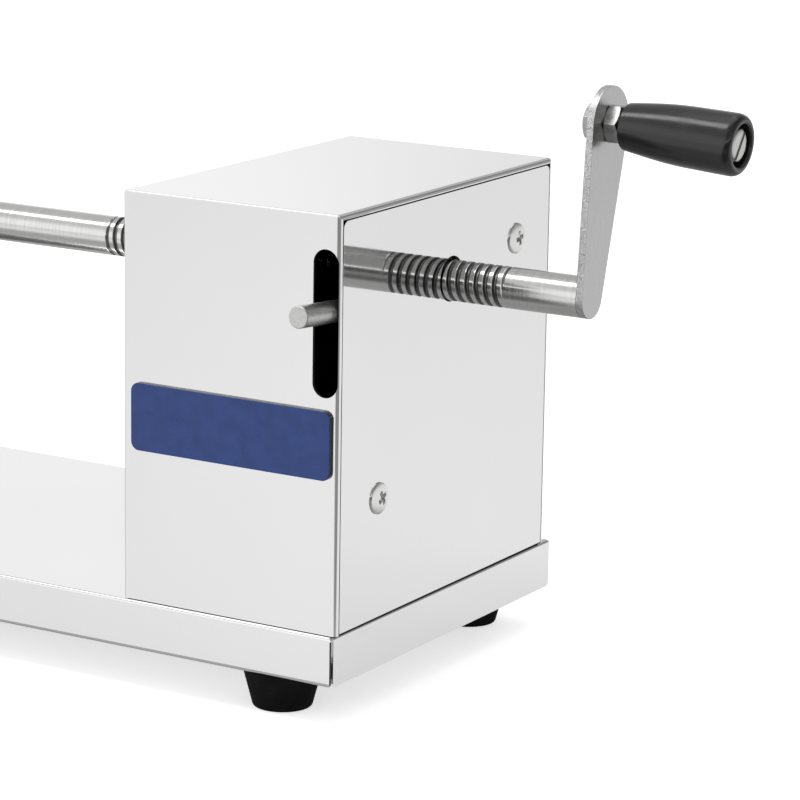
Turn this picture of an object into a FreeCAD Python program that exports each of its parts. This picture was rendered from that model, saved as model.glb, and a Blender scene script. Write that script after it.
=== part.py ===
"""Hand-cranked spiral potato cutter: a folded stainless base and housing, a threaded feed shaft with its
half nut on a rocker lever, a crank with a revolving handle, a potato holder and an upright cutter blade.

The machine datum is on the crank-end face of the housing (x), on the shaft's vertical plane (y) and on the
top of the base (z). +X runs along the shaft towards the crank, +Z is up. Every piece is placed from the
datum, and the datum from the part's origin, which lies on the table under the centre of the whole machine.
"""
import FreeCAD, Part
import math
import os
import re
import Sketcher
from FreeCAD import Placement, Rotation, Vector

DIMENSIONS = (
    ("origin_x", 167.5, "datum from the part's origin, along the shaft"),
    ("origin_y", 7.5, "datum from the part's origin, across"),
    ("origin_z", 35.3, "top of the base above the table"),
    ("sheet", 1.2, "thickness of the folded sheet"),
    ("bend", 1.8, "outer radius of the folded corners"),
    ("bolt_r", 2.5, "M5 bolt radius"),
    ("bolt_hole_r", 2.7, "clearance hole for an M5 bolt"),
    ("bolt_head_r", 4.6, "M5 head and nut, across corners, half"),
    ("bolt_head_len", 3.5, "M5 head"),
    ("bolt_nut_len", 4.0, "M5 nut"),
    ("base_len", 450.0, "base along the shaft"),
    ("base_end", 1.0, "end skirt behind the housing's face"),
    ("base_near", 83.7, "near skirt from the shaft's plane"),
    ("base_far", 85.1, "far skirt from the shaft's plane"),
    ("base_height", 19.7, "height of the base's skirts"),
    ("base_flange", 30.0, "return flange along each long side"),
    ("base_seam", 0.5, "open seam at each folded corner"),
    ("foot_top_r", 15.5, "rubber foot at the base"),
    ("foot_low_r", 11.5, "rubber foot at the table"),
    ("foot_near_y", 67.6, "near feet from the shaft's plane"),
    ("foot_far_y", 69.0, "far feet from the shaft's plane"),
    ("foot_near_x", 32.4, "near foot under the housing"),
    ("foot_far_x", 29.0, "far foot under the housing"),
    ("foot_blade_x", 421.0, "feet at the blade end"),
    ("foot_recess_r", 5.6, "recess for the screw in a foot"),
    ("foot_recess", 7.0, "depth of that recess"),
    ("box_len", 95.5, "housing along the shaft"),
    ("box_near", 81.85, "near side of the housing from the shaft's plane"),
    ("box_far", 77.35, "far side of the housing from the shaft's plane"),
    ("box_height", 160.0, "housing above the base"),
    ("box_lip", 2.0, "width of the rounded lip at both ends"),
    ("box_gap", 0.45, "gap between the lip and an end panel"),
    ("box_flange", 14.0, "inward flange along the housing's feet"),
    ("panel", 1.5, "thickness of an end panel"),
    ("panel_tab", 18.0, "foot of an end panel"),
    ("panel_corner", 3.0, "rounded upper corner of an end panel"),
    ("slot_x", 6.0, "middle of the release slot behind the face"),
    ("slot_r", 5.4, "half width of the release slot"),
    ("slot_low", 91.2, "lower end of the release slot"),
    ("slot_high", 147.0, "upper end of the release slot"),
    ("shaft_r", 8.0, "feed shaft radius"),
    ("shaft_z", 123.0, "shaft axis above the base"),
    ("shaft_end", 58.1, "crank end of the shaft"),
    ("shaft_tip", 258.0, "potato end of the shaft"),
    ("pitch", 4.0, "feed thread pitch"),
    ("thread_start", 157.8, "thread's first turn, behind the face"),
    ("thread_len", 181.8, "threaded length"),
    ("thread_depth", 1.0, "depth of the thread's groove"),
    ("thread_root", 0.45, "half width of the groove's root"),
    ("thread_mouth", 1.05, "half width of the groove at the surface"),
    ("skewer_r", 2.75, "bore for the skewer in the shaft"),
    ("skewer_depth", 40.0, "depth of that bore"),
    ("panel_hole_r", 8.85, "hole round the shaft in the crank-end panel"),
    ("seat_r", 11.06, "seat of a floating bush"),
    ("bush_r", 11.0, "neck of a floating bush"),
    ("bush_bore_r", 8.06, "bore of a floating bush"),
    ("bush_flange_r", 14.0, "flange of a floating bush"),
    ("bush_ring_r", 13.5, "retaining ring of a floating bush"),
    ("bracket_x", 21.0, "front face of the bearing bracket"),
    ("bracket", 3.0, "thickness of the bearing bracket"),
    ("bracket_foot", 33.0, "foot of the bearing bracket"),
    ("pivot_y", 49.7, "lever pivot beyond the shaft"),
    ("pivot_z", 8.5, "lever pivot above the shaft"),
    ("post_y", 53.1, "spring post before the shaft"),
    ("post_z", 75.6, "spring post below the shaft"),
    ("screw_r", 3.0, "M6 screw radius"),
    ("screw_head_r", 6.2, "M6 pan head radius"),
    ("screw_head", 2.2, "M6 pan head height"),
    ("jam_nut_len", 2.8, "thin M6 nut"),
    ("lock_nut_len", 5.0, "M6 lock nut"),
    ("screw_nut_r", 5.7, "M6 nut, across corners, half"),
    ("lever_x", 6.4, "middle plane of the lever"),
    ("lever", 4.0, "thickness of the lever"),
    ("lever_bore_r", 3.07, "pivot hole in the lever"),
    ("nut_half", 14.0, "half width of the half nut"),
    ("nut_top", 17.5, "top of the half nut above the shaft"),
    ("nut_low", 3.5, "lips of the half nut above the shaft's axis"),
    ("nut_len", 9.0, "half nut along the shaft"),
    ("nut_front", 2.4, "front of the half nut behind the face"),
    ("nut_seat", 14.5, "lever's seat on the half nut"),
    ("nut_bore_r", 8.45, "bore of the half nut"),
    ("ridge_r", 7.3, "inner radius of the half nut's ridge"),
    ("ridge_gap", 0.28, "play of the ridge on each side of the groove"),
    ("pin_r", 4.2, "release pin radius"),
    ("pin_len", 38.06, "release pin length"),
    ("pin_tilt", 4.4, "release pin, rising outwards, degrees"),
    ("pin_root_y", 62.0, "root of the release pin from the shaft's plane"),
    ("pin_root_z", -1.23, "root of the release pin from the shaft's axis"),
    ("spring_r", 4.3, "return spring's outer radius"),
    ("spring_wire_r", 0.6, "return spring's wire radius"),
    ("arm", 3.0, "thickness of the crank arm"),
    ("arm_tip_r", 14.4, "rounded end of the crank arm at the handle"),
    ("arm_tip_y", 11.57, "handle bolt beyond the shaft"),
    ("arm_tip_z", 64.77, "handle bolt above the shaft"),
    ("handle_bolt_r", 4.0, "M8 handle bolt radius"),
    ("handle_bolt_hole_r", 4.3, "hole for it in the arm"),
    ("handle_nut_r", 7.9, "M8 nut, across corners, half"),
    ("handle_nut_len", 5.9, "M8 nut"),
    ("handle_tilt", 3.4, "droop of the handle, degrees"),
    ("handle_bore_r", 4.07, "bore of the revolving handle"),
    ("handle_low_r", 9.45, "handle radius at the nut"),
    ("handle_r", 12.1, "handle's greatest radius"),
    ("handle_belly", 30.0, "where that radius begins"),
    ("handle_len", 47.7, "handle length"),
    ("handle_recess_r", 7.5, "recess for the bolt's head"),
    ("handle_recess", 4.0, "depth of that recess"),
    ("handle_head_r", 6.3, "slotted head radius"),
    ("handle_head", 2.9, "slotted head height"),
    ("holder_r", 22.0, "potato holder's disc"),
    ("holder_disc", 5.0, "thickness of that disc"),
    ("holder_hub_r", 13.0, "potato holder's hub"),
    ("holder_len", 18.0, "potato holder along the shaft"),
    ("prong_pcd_r", 15.0, "circle of the prongs, half"),
    ("prong_r", 1.6, "prong radius"),
    ("prong_len", 15.0, "prong beyond the disc"),
    ("stand_x", 305.0, "front face of the blade stand"),
    ("stand", 3.0, "thickness of the blade stand"),
    ("stand_half", 52.0, "half width of the blade stand"),
    ("stand_height", 173.0, "height of the blade stand"),
    ("stand_corner", 24.0, "rounded upper corner of the blade stand"),
    ("stand_foot", 35.0, "foot of the blade stand"),
    ("mouth_r", 36.0, "opening that the cut potato leaves through"),
    ("blade", 1.2, "thickness of the blade"),
    ("blade_lead", 3.4, "blade in front of the stand"),
    ("blade_edge", 2.0, "cutting edge before the shaft's plane"),
    ("blade_back", 12.0, "back of the blade"),
    ("blade_top", 47.0, "top of the blade above the shaft's axis"),
    ("blade_screw_z", 42.0, "blade screws above the shaft's axis"),
    ("blade_screw_r", 2.0, "M4 screw radius"),
    ("guide_r", 4.5, "skewer guide tube radius"),
    ("guide_bore_r", 3.0, "bore of the skewer guide"),
    ("guide_len", 36.0, "length of the skewer guide"),
)
SIZE_NAMES = {alias for alias, _, _ in DIMENSIONS}

doc = FreeCAD.newDocument("SpiralPotatoCutter")
sheet = doc.addObject("Spreadsheet::Sheet", "Sizes")
for row, (alias, value, note) in enumerate(DIMENSIONS, start=1):
    sheet.set(f"A{row}", note)
    sheet.set(f"B{row}", str(value))
    sheet.setAlias(f"B{row}", alias)
doc.recompute()

NODES = []


def formula(text):
    """The text with every size name written as a cell of the sheet."""

    def cell(word):
        return "Sizes." + word.group() if word.group() in SIZE_NAMES else word.group()

    return re.sub(r"[a-z_]\w*", cell, str(text))


def size(text):
    """The value of a formula, in millimetres or degrees."""
    return float(sheet.evalExpression(formula(text)))


def bind(target, prop, text):
    """Ties a property to the sheet."""
    target.setExpression(prop, formula(text))


def place(target, x="0", y="0", z="0"):
    """Puts a piece at a point measured from the machine datum."""
    bind(target, "Placement.Base.x", f"origin_x + ({x})")
    bind(target, "Placement.Base.y", f"origin_y + ({y})")
    bind(target, "Placement.Base.z", f"origin_z + ({z})")


def turn(target, axis, angle):
    """Turns a piece about an axis through its own origin."""
    target.Placement = Placement(Vector(0, 0, 0), Rotation(Vector(*axis), 0))
    bind(target, "Placement.Rotation.Angle", angle)


def stock(label):
    """An empty body that is only part of a piece."""
    made = doc.addObject("PartDesign::Body", label)
    made.Label = label
    return made


def body(label):
    """An empty body that becomes one piece of the machine."""
    made = stock(label)
    NODES.append(made)
    return made


def sketch(owner, role, height="0"):
    """A sketch on one of the body's own planes, moved along its normal."""
    made = owner.newObject("Sketcher::SketchObject", owner.Label + "_sketch")
    plane = next(f for f in owner.Origin.OriginFeatures if f.Role == role)
    made.AttachmentSupport = [(plane, "")]
    made.MapMode = "FlatFace"
    bind(made, "AttachmentOffset.Base.z", height)
    return made


def hold(made, kind, *where, text):
    """One driven constraint."""
    index = made.addConstraint(Sketcher.Constraint(kind, *where, size(text)))
    made.setExpression(f"Constraints[{index}]", formula(text))


def pin_point(made, geometry, position, x, y):
    """Holds a point of a sketch at its coordinates."""
    hold(made, "DistanceX", geometry, position, text=x)
    hold(made, "DistanceY", geometry, position, text=y)


def polygon(made, corners):
    """A closed outline through the corners."""
    first = made.GeometryCount
    points = [Vector(size(x), size(y), 0) for x, y in corners]
    for here, there in zip(points, points[1:] + points[:1]):
        made.addGeometry(Part.LineSegment(here, there), False)
    for step, (x, y) in enumerate(corners):
        following = first + (step + 1) % len(corners)
        made.addConstraint(Sketcher.Constraint("Coincident", first + step, 2, following, 1))
        pin_point(made, first + step, 1, x, y)


def rectangle(made, left, right, low, high):
    """A closed rectangle."""
    polygon(made, [(left, low), (right, low), (right, high), (left, high)])


def circle(made, x, y, radius):
    """A full circle."""
    centre = Vector(size(x), size(y), 0)
    index = made.addGeometry(Part.Circle(centre, Vector(0, 0, 1), size(radius)), False)
    hold(made, "Radius", index, text=radius)
    pin_point(made, index, 3, x, y)


def two_arc_loop(made, low, high):
    """Two round ends, each (x, y, radius), joined by their common tangents."""
    (xa, ya, ra), (xb, yb, rb) = [tuple(size(v) for v in end) for end in (low, high)]
    heading = math.atan2(yb - ya, xb - xa)
    open_angle = math.acos((ra - rb) / math.hypot(xb - xa, yb - ya))
    normal = Vector(0, 0, 1)
    left, right = heading + open_angle, heading - open_angle

    def rim(x, y, r, angle):
        return Vector(x + r * math.cos(angle), y + r * math.sin(angle), 0)

    turned = 2 * math.pi
    low_rim = Part.Circle(Vector(xa, ya, 0), normal, ra)
    first = made.addGeometry(Part.ArcOfCircle(low_rim, left, right + turned), False)
    made.addGeometry(Part.LineSegment(rim(xa, ya, ra, right), rim(xb, yb, rb, right)), False)
    made.addGeometry(Part.ArcOfCircle(Part.Circle(Vector(xb, yb, 0), normal, rb), right, left), False)
    made.addGeometry(Part.LineSegment(rim(xb, yb, rb, left), rim(xa, ya, ra, left)), False)
    for a, pa, b, pb in ((0, 2, 1, 1), (1, 2, 2, 1), (2, 2, 3, 1), (3, 2, 0, 1)):
        made.addConstraint(Sketcher.Constraint("Tangent", first + a, pa, first + b, pb))
    for index, (x, y, radius) in ((first, low), (first + 2, high)):
        pin_point(made, index, 3, x, y)
        hold(made, "Radius", index, text=radius)


def pad(owner, made, length):
    """Adds the sketch's outline, along its normal."""
    feature = owner.newObject("PartDesign::Pad", owner.Label + "_pad")
    feature.Profile = made
    bind(feature, "Length", length)
    doc.recompute()
    return feature


def pocket(owner, made, length):
    """Cuts the sketch's outline, against its normal, and makes sure that it cuts."""
    before = owner.Shape.Volume
    feature = owner.newObject("PartDesign::Pocket", owner.Label + "_pocket")
    feature.Profile = made
    bind(feature, "Length", length)
    doc.recompute()
    if owner.Shape.Volume > before - 1e-6:
        raise RuntimeError(f"{feature.Label} cuts nothing")
    return feature


def revolve(owner, corners):
    """Turns a closed outline of (x, radius) corners about the body's X axis."""
    profile = sketch(owner, "XZ_Plane")
    polygon(profile, corners)
    feature = owner.newObject("PartDesign::Revolution", owner.Label + "_turned")
    feature.Profile = profile
    feature.ReferenceAxis = (profile, ["H_Axis"])
    feature.Angle = 360
    doc.recompute()
    return feature


def round_edges(owner, radius, test):
    """Rounds every edge whose box passes the test."""
    base = owner.Tip
    names = [f"Edge{n}" for n, edge in enumerate(base.Shape.Edges, start=1) if test(edge.BoundBox)]
    feature = owner.newObject("PartDesign::Fillet", owner.Label + "_round")
    feature.Base = (base, names)
    bind(feature, "Radius", radius)
    doc.recompute()
    return feature


def chamfer_edges(owner, width, test):
    """Chamfers every edge whose box passes the test."""
    base = owner.Tip
    names = [f"Edge{n}" for n, edge in enumerate(base.Shape.Edges, start=1) if test(edge.BoundBox)]
    feature = owner.newObject("PartDesign::Chamfer", owner.Label + "_chamfer")
    feature.Base = (base, names)
    bind(feature, "Size", width)
    doc.recompute()
    return feature


def near(value, text):
    """Whether a coordinate is the one that the formula gives."""
    return abs(value - size(text)) < 1e-3


def cylinder(label, radius, length):
    """A plain round bar along Z, as stock for a fastener."""
    bar = doc.addObject("Part::Cylinder", label)
    bind(bar, "Radius", radius)
    bind(bar, "Height", length)
    return bar


def hexagon(label, radius, length):
    """A plain hexagon bar along Z, as stock for a fastener."""
    bar = doc.addObject("Part::Prism", label)
    bar.Polygon = 6
    bind(bar, "Circumradius", radius)
    bind(bar, "Height", length)
    return bar


def hex_bolt(label, radius, length, head_radius, head_length):
    """A hexagon bolt: the head from z = -head_length to 0, the shank above it."""
    head = hexagon(label + "_head", head_radius, head_length)
    bind(head, "Placement.Base.z", f"-({head_length})")
    shank = cylinder(label + "_shank", radius, length)
    bolt = doc.addObject("Part::Fuse", label)
    bolt.Base = head
    bolt.Tool = shank
    doc.recompute()
    return bolt


def hex_nut(label, bore, head_radius, length):
    """A hexagon nut from z = 0 up."""
    nut = doc.addObject("Part::Cut", label)
    nut.Base = hexagon(label + "_bar", head_radius, length)
    nut.Tool = cylinder(label + "_bore", bore, length)
    doc.recompute()
    return nut


def group(label, master, points, rotation=Rotation()):
    """One piece per point, all alike, as the solids of one node."""
    made = doc.addObject("Part::Feature", label)
    made.Label = label
    copies = []
    for point in points:
        copy = master.Shape.copy()
        copy.Placement = Placement(Vector(*[size(v) for v in point]), rotation)
        copies.append(copy)
    made.Shape = Part.makeCompound(copies)
    place(made)
    NODES.append(made)
    return made


# Where the folded pieces are bolted to the base: (x, y) from the datum.
COVER_BOLTS = [(x, y) for x in ("-22", "-73") for y in ("7 - box_near", "box_far - 7")]
CRANK_PANEL_BOLTS = [("-11", "-35"), ("-11", "35")]
BLADE_PANEL_BOLTS = [("11 - box_len", "-35"), ("11 - box_len", "35")]
BRACKET_BOLTS = [("-42", "-20"), ("-42", "20")]
STAND_BOLTS = [("-stand_x - 20", "-34"), ("-stand_x - 20", "34")]
BASE_BOLTS = COVER_BOLTS + CRANK_PANEL_BOLTS + BLADE_PANEL_BOLTS + BRACKET_BOLTS + STAND_BOLTS
FEET = {
    "foot_near_crank": ("-foot_near_x", "-foot_near_y"),
    "foot_far_crank": ("-foot_far_x", "foot_far_y"),
    "foot_near_blade": ("-foot_blade_x", "-foot_near_y"),
    "foot_far_blade": ("-foot_blade_x", "foot_far_y"),
}


def build_base():
    """Tray folded from one sheet: top, four skirts with open corner seams, two return flanges."""
    tray = body("base_tray")
    blank = sketch(tray, "XY_Plane", "-base_height")
    rectangle(blank, "-base_end - base_len", "-base_end", "-base_near", "base_far")
    pad(tray, blank, "base_height")
    long_side = size("base_len") - 1
    round_edges(tray, "bend", lambda b: b.XLength > long_side or (near(b.ZMax, "0") and b.ZLength < 1e-6))
    inside = sketch(tray, "XY_Plane", "-sheet")
    rectangle(
        inside,
        "sheet - base_end - base_len",
        "-base_end - sheet",
        "sheet - base_near",
        "base_far - sheet",
    )
    pocket(tray, inside, "base_height - 2 * sheet")
    underside = sketch(tray, "XY_Plane", "0.1 - base_height + sheet")
    rectangle(
        underside,
        "sheet - base_end - base_len",
        "-base_end - sheet",
        "base_flange - base_near",
        "base_far - base_flange",
    )
    pocket(tray, underside, "sheet + 0.2")
    seams = sketch(tray, "XZ_Plane", "base_near + 1")
    for left in ("-base_end - sheet - base_seam", "-base_end - base_len + sheet"):
        rectangle(seams, left, f"{left} + base_seam", "-base_height - 1", "-bend")
    pocket(tray, seams, "base_near + base_far + 2")
    holes = sketch(tray, "XY_Plane", "1")
    for x, y in BASE_BOLTS:
        circle(holes, x, y, "bolt_hole_r")
    pocket(tray, holes, "sheet + 2")
    foot_holes = sketch(tray, "XY_Plane", "1 + sheet - base_height")
    for x, y in FEET.values():
        circle(foot_holes, x, y, "bolt_hole_r")
    pocket(tray, foot_holes, "sheet + 2")
    place(tray)


def build_feet():
    """Tapered rubber feet, each with a recess for its screw."""
    for label, (x, y) in FEET.items():
        foot = body(label)
        height = "(origin_z - base_height)"
        revolve(
            foot,
            [
                ("0", "bolt_hole_r"),
                ("0", "foot_top_r"),
                (height, "foot_low_r"),
                (height, "foot_recess_r"),
                (f"{height} - foot_recess", "foot_recess_r"),
                (f"{height} - foot_recess", "bolt_hole_r"),
            ],
        )
        turn(foot, (0, 1, 0), "90")
        place(foot, x, y, "-base_height")
    bolt = hex_bolt("foot_bolt", "bolt_r", "15", "bolt_head_r", "bolt_head_len")
    nut = hex_nut("foot_nut", "bolt_r", "bolt_head_r", "bolt_nut_len")
    seat = "foot_recess - origin_z"
    group("foot_bolts", bolt, [(x, y, seat) for x, y in FEET.values()])
    group("foot_nuts", nut, [(x, y, "sheet - base_height") for x, y in FEET.values()])


def build_cover():
    """Near side, top and far side folded from one sheet, with a rounded lip round both ends."""
    cover = body("housing_cover")
    blank = sketch(cover, "XY_Plane")
    rectangle(blank, "-box_len", "0", "-box_near", "box_far")
    pad(cover, blank, "box_height")
    round_edges(cover, "bend", lambda b: not (near(b.ZMax, "0") and b.YLength > 100))
    inside = sketch(cover, "XY_Plane", "box_height - sheet")
    rectangle(inside, "sheet - box_len", "-sheet", "sheet - box_near", "box_far - sheet")
    pocket(cover, inside, "box_height - 2 * sheet")
    mouth = sketch(cover, "YZ_Plane", "1")
    rectangle(mouth, "box_lip - box_near", "box_far - box_lip", "-1", "box_height - box_lip")
    pocket(cover, mouth, "box_lip + 1")
    far_mouth = sketch(cover, "YZ_Plane", "box_lip - box_len")
    rectangle(far_mouth, "box_lip - box_near", "box_far - box_lip", "-1", "box_height - box_lip")
    pocket(cover, far_mouth, "box_lip + 1")
    underside = sketch(cover, "XY_Plane", "sheet + 0.1")
    rectangle(underside, "sheet - box_len", "-sheet", "box_flange - box_near", "box_far - box_flange")
    pocket(cover, underside, "sheet + 1")
    slot = sketch(cover, "XZ_Plane", "box_near + 1")
    two_arc_loop(
        slot,
        ("-slot_x", "slot_low + slot_r", "slot_r"),
        ("-slot_x", "slot_high - slot_r", "slot_r"),
    )
    pocket(cover, slot, "8")
    holes = sketch(cover, "XY_Plane", "sheet + 1")
    for x, y in COVER_BOLTS:
        circle(holes, x, y, "bolt_hole_r")
    pocket(cover, holes, "sheet + 2")
    place(cover)


def build_end_panel(label, front, tab_left, tab_right, bolts, shaft_hole):
    """A flat panel that fills one end of the cover, with its foot bent inwards."""
    panel = body(label)
    plate = sketch(panel, "YZ_Plane", f"{front} - panel")
    inset = "box_lip + box_gap"
    rectangle(plate, f"{inset} - box_near", f"box_far - ({inset})", "0.2", f"box_height - ({inset})")
    pad(panel, plate, "panel")
    round_edges(panel, "panel_corner", lambda b: near(b.XLength, "panel") and b.ZMin > 100)
    tab = sketch(panel, "XY_Plane")
    rectangle(tab, tab_left, tab_right, "-56", "52")
    pad(panel, tab, "panel")
    hole = sketch(panel, "YZ_Plane", f"{front} + 1")
    circle(hole, "0", "shaft_z", shaft_hole)
    if label == "end_panel_crank":
        circle(hole, "pivot_y", "shaft_z + pivot_z", "screw_r + 0.2")
        circle(hole, "-post_y", "shaft_z - post_z", "screw_r + 0.2")
    pocket(panel, hole, "panel + 2")
    holes = sketch(panel, "XY_Plane", "panel + 1")
    for x, y in bolts:
        circle(holes, x, y, "bolt_hole_r")
    pocket(panel, holes, "panel + 2")
    place(panel)


def build_bracket():
    """Upright plate behind the lever that carries the crank-end bush."""
    bracket = body("bearing_bracket")
    side = sketch(bracket, "XZ_Plane", "-34")
    polygon(
        side,
        [
            ("-bracket_x - bracket_foot", "0"),
            ("-bracket_x", "0"),
            ("-bracket_x", "shaft_z + 26"),
            ("-bracket_x - bracket", "shaft_z + 26"),
            ("-bracket_x - bracket", "bracket"),
            ("-bracket_x - bracket_foot", "bracket"),
        ],
    )
    pad(bracket, side, "68")
    top = "shaft_z + 26"
    chamfer_edges(bracket, "12", lambda b: near(b.XLength, "bracket") and near(b.ZMin, top))
    hole = sketch(bracket, "YZ_Plane", "1 - bracket_x")
    circle(hole, "0", "shaft_z", "seat_r")
    pocket(bracket, hole, "bracket + 2")
    holes = sketch(bracket, "XY_Plane", "bracket + 1")
    for x, y in BRACKET_BOLTS:
        circle(holes, x, y, "bolt_hole_r")
    pocket(bracket, holes, "bracket + 2")
    place(bracket)


def build_base_bolts():
    """The bolts and nuts that hold the folded pieces on the base, heads under the sheet."""
    bolt = hex_bolt("base_bolt", "bolt_r", "10", "bolt_head_r", "bolt_head_len")
    group("base_bolts", bolt, [(x, y, "-sheet") for x, y in BASE_BOLTS])
    nut = hex_nut("base_nut", "bolt_r", "bolt_head_r", "bolt_nut_len")
    seats = [(x, y, "sheet") for x, y in COVER_BOLTS]
    seats += [(x, y, "panel") for x, y in CRANK_PANEL_BOLTS + BLADE_PANEL_BOLTS]
    seats += [(x, y, "bracket") for x, y in BRACKET_BOLTS]
    seats += [(x, y, "stand") for x, y in STAND_BOLTS]
    group("base_nuts", nut, seats)


def build_bushes():
    """Two floating bushes and the ring that keeps each one in its seat."""
    for end, front, wall in (("crank", "-bracket_x", "bracket"), ("blade", "panel - box_len", "panel")):
        bush = body(f"shaft_bush_{end}")
        revolve(
            bush,
            [
                ("2.1", "bush_bore_r"),
                ("2.1", "bush_flange_r"),
                ("0.1", "bush_flange_r"),
                ("0.1", "bush_r"),
                (f"-{wall} - 6", "bush_r"),
                (f"-{wall} - 6", "bush_bore_r"),
            ],
        )
        place(bush, front, "0", "shaft_z")
        ring = body(f"bush_ring_{end}")
        revolve(ring, [("0", "bush_r"), ("0", "bush_ring_r"), ("-1.2", "bush_ring_r"), ("-1.2", "bush_r")])
        place(ring, f"{front} - {wall} - 0.1", "0", "shaft_z")


def build_shaft():
    """Feed shaft with the skewer's bore in one end and the helical feed groove along its middle."""
    shaft = body("feed_shaft")
    revolve(
        shaft,
        [
            ("-shaft_tip", "skewer_r"),
            ("-shaft_tip", "shaft_r"),
            ("shaft_end", "shaft_r"),
            ("shaft_end", "0"),
            ("skewer_depth - shaft_tip", "0"),
            ("skewer_depth - shaft_tip", "skewer_r"),
        ],
    )
    groove = sketch(shaft, "XZ_Plane")
    slope = "(thread_mouth - thread_root) / thread_depth"
    above = "0.2"
    polygon(
        groove,
        [
            ("-thread_start - thread_root", "shaft_r - thread_depth"),
            ("-thread_start + thread_root", "shaft_r - thread_depth"),
            (f"-thread_start + thread_mouth + {above} * {slope}", f"shaft_r + {above}"),
            (f"-thread_start - thread_mouth - {above} * {slope}", f"shaft_r + {above}"),
        ],
    )
    plain = shaft.Shape.Volume
    thread = shaft.newObject("PartDesign::SubtractiveHelix", "feed_thread")
    thread.Profile = groove
    thread.ReferenceAxis = (groove, ["H_Axis"])
    thread.Mode = "pitch-height-angle"
    bind(thread, "Pitch", "pitch")
    bind(thread, "Height", "thread_len")
    thread.LeftHanded = False
    thread.Reversed = False
    doc.recompute()
    print("feed thread removes", round(plain - shaft.Shape.Volume, 1), "mm3")
    place(shaft, "0", "0", "shaft_z")


def build_half_nut():
    """Upper half of a nut whose helical ridge runs in the shaft's groove."""
    block = stock("half_nut_block")
    outline = sketch(block, "YZ_Plane", "-nut_front - nut_len")
    rectangle(outline, "-nut_half", "nut_half", "nut_low - 20", "nut_top")
    circle(outline, "0", "0", "nut_bore_r")
    pad(block, outline, "nut_len")
    lower = sketch(block, "XY_Plane", "nut_low")
    rectangle(lower, "-40", "10", "-30", "30")
    pocket(block, lower, "40")
    saddle = sketch(block, "XZ_Plane", "nut_half + 1")
    rectangle(saddle, "-lever_x - lever / 2", "lever / 2 - lever_x", "nut_seat", "nut_top + 1")
    pocket(block, saddle, "2 * nut_half + 2")

    coil = stock("half_nut_coil")
    ridge = sketch(coil, "XZ_Plane")
    slope = "(thread_mouth - thread_root) / thread_depth"
    half = f"thread_root - ridge_gap + (ridge_r - shaft_r + thread_depth) * {slope}"
    wide = f"thread_root - ridge_gap + (nut_bore_r + 0.3 - shaft_r + thread_depth) * {slope}"
    middle = "-thread_start + 35 * pitch"
    polygon(
        ridge,
        [
            (f"{middle} - ({half})", "ridge_r"),
            (f"{middle} + {half}", "ridge_r"),
            (f"{middle} + {wide}", "nut_bore_r + 0.3"),
            (f"{middle} - ({wide})", "nut_bore_r + 0.3"),
        ],
    )
    turns = coil.newObject("PartDesign::AdditiveHelix", "half_nut_thread")
    turns.Profile = ridge
    turns.ReferenceAxis = (ridge, ["H_Axis"])
    turns.Mode = "pitch-height-angle"
    bind(turns, "Pitch", "pitch")
    bind(turns, "Height", "5 * pitch")
    turns.LeftHanded = False
    turns.Reversed = False

    room = doc.addObject("Part::Box", "half_nut_room")
    bind(room, "Length", "nut_len")
    bind(room, "Width", "2 * nut_half")
    bind(room, "Height", "nut_top - nut_low")
    bind(room, "Placement.Base.x", "-nut_front - nut_len")
    bind(room, "Placement.Base.y", "-nut_half")
    bind(room, "Placement.Base.z", "nut_low")
    kept = doc.addObject("Part::Common", "half_nut_ridges")
    kept.Base = coil
    kept.Tool = room
    nut = doc.addObject("Part::Fuse", "half_nut")
    nut.Label = "half_nut"
    nut.Base = block
    nut.Tool = kept
    place(nut, "0", "0", "shaft_z")
    doc.recompute()
    NODES.append(nut)


def build_lever():
    """Rocker lever over the shaft, the release pin at its near end and the spring that pulls it down."""
    lever = body("rocker_lever")
    outline = sketch(lever, "YZ_Plane", "-lever_x - lever / 2")
    polygon(
        outline,
        [
            ("58.5", "3.0"),
            ("58.5", "14.0"),
            ("52.0", "18.5"),
            ("nut_half", "25.0"),
            ("-nut_half", "25.0"),
            ("-40.0", "9.0"),
            ("6 * sin(pin_tilt) - pin_root_y", "pin_root_z + 6 * cos(pin_tilt)"),
            ("-6 * sin(pin_tilt) - pin_root_y", "pin_root_z - 6 * cos(pin_tilt)"),
            ("-post_y - 4.5", "-16.0"),
            ("-post_y + 4.5", "-16.0"),
            ("-44.0", "-6.0"),
            ("-nut_half", "5.0"),
            ("-nut_half", "nut_seat"),
            ("nut_half", "nut_seat"),
            ("nut_half", "5.0"),
            ("50.0", "-1.0"),
        ],
    )
    circle(outline, "pivot_y", "pivot_z", "lever_bore_r")
    circle(outline, "-post_y", "-11", "2.6")
    pad(lever, outline, "lever")
    place(lever, "0", "0", "shaft_z")

    pin = body("release_pin")
    revolve(
        pin,
        [
            ("0", "0"),
            ("pin_len", "0"),
            ("pin_len", "pin_r - 0.8"),
            ("pin_len - 0.8", "pin_r"),
            ("0", "pin_r"),
        ],
    )
    outwards = Rotation(Vector(0, 0, 1), -90).multiply(Rotation(Vector(0, 1, 0), -size("pin_tilt")))
    pin.Placement = Placement(Vector(0, 0, 0), outwards)
    place(pin, "-lever_x", "-pin_root_y", "shaft_z + pin_root_z")


def spring_ring(label, inner, rotation):
    """A flat ring a little wider than the spring's wire."""
    ring = doc.addObject("Part::Cut", label)
    ring.Base = cylinder(label + "_rim", f"{inner} + 2 * spring_wire_r", "2 * spring_wire_r + 0.2")
    ring.Tool = cylinder(label + "_eye", inner, "2 * spring_wire_r + 0.2")
    ring.Placement = Placement(Vector(0, 0, 0), rotation)
    return ring


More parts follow.
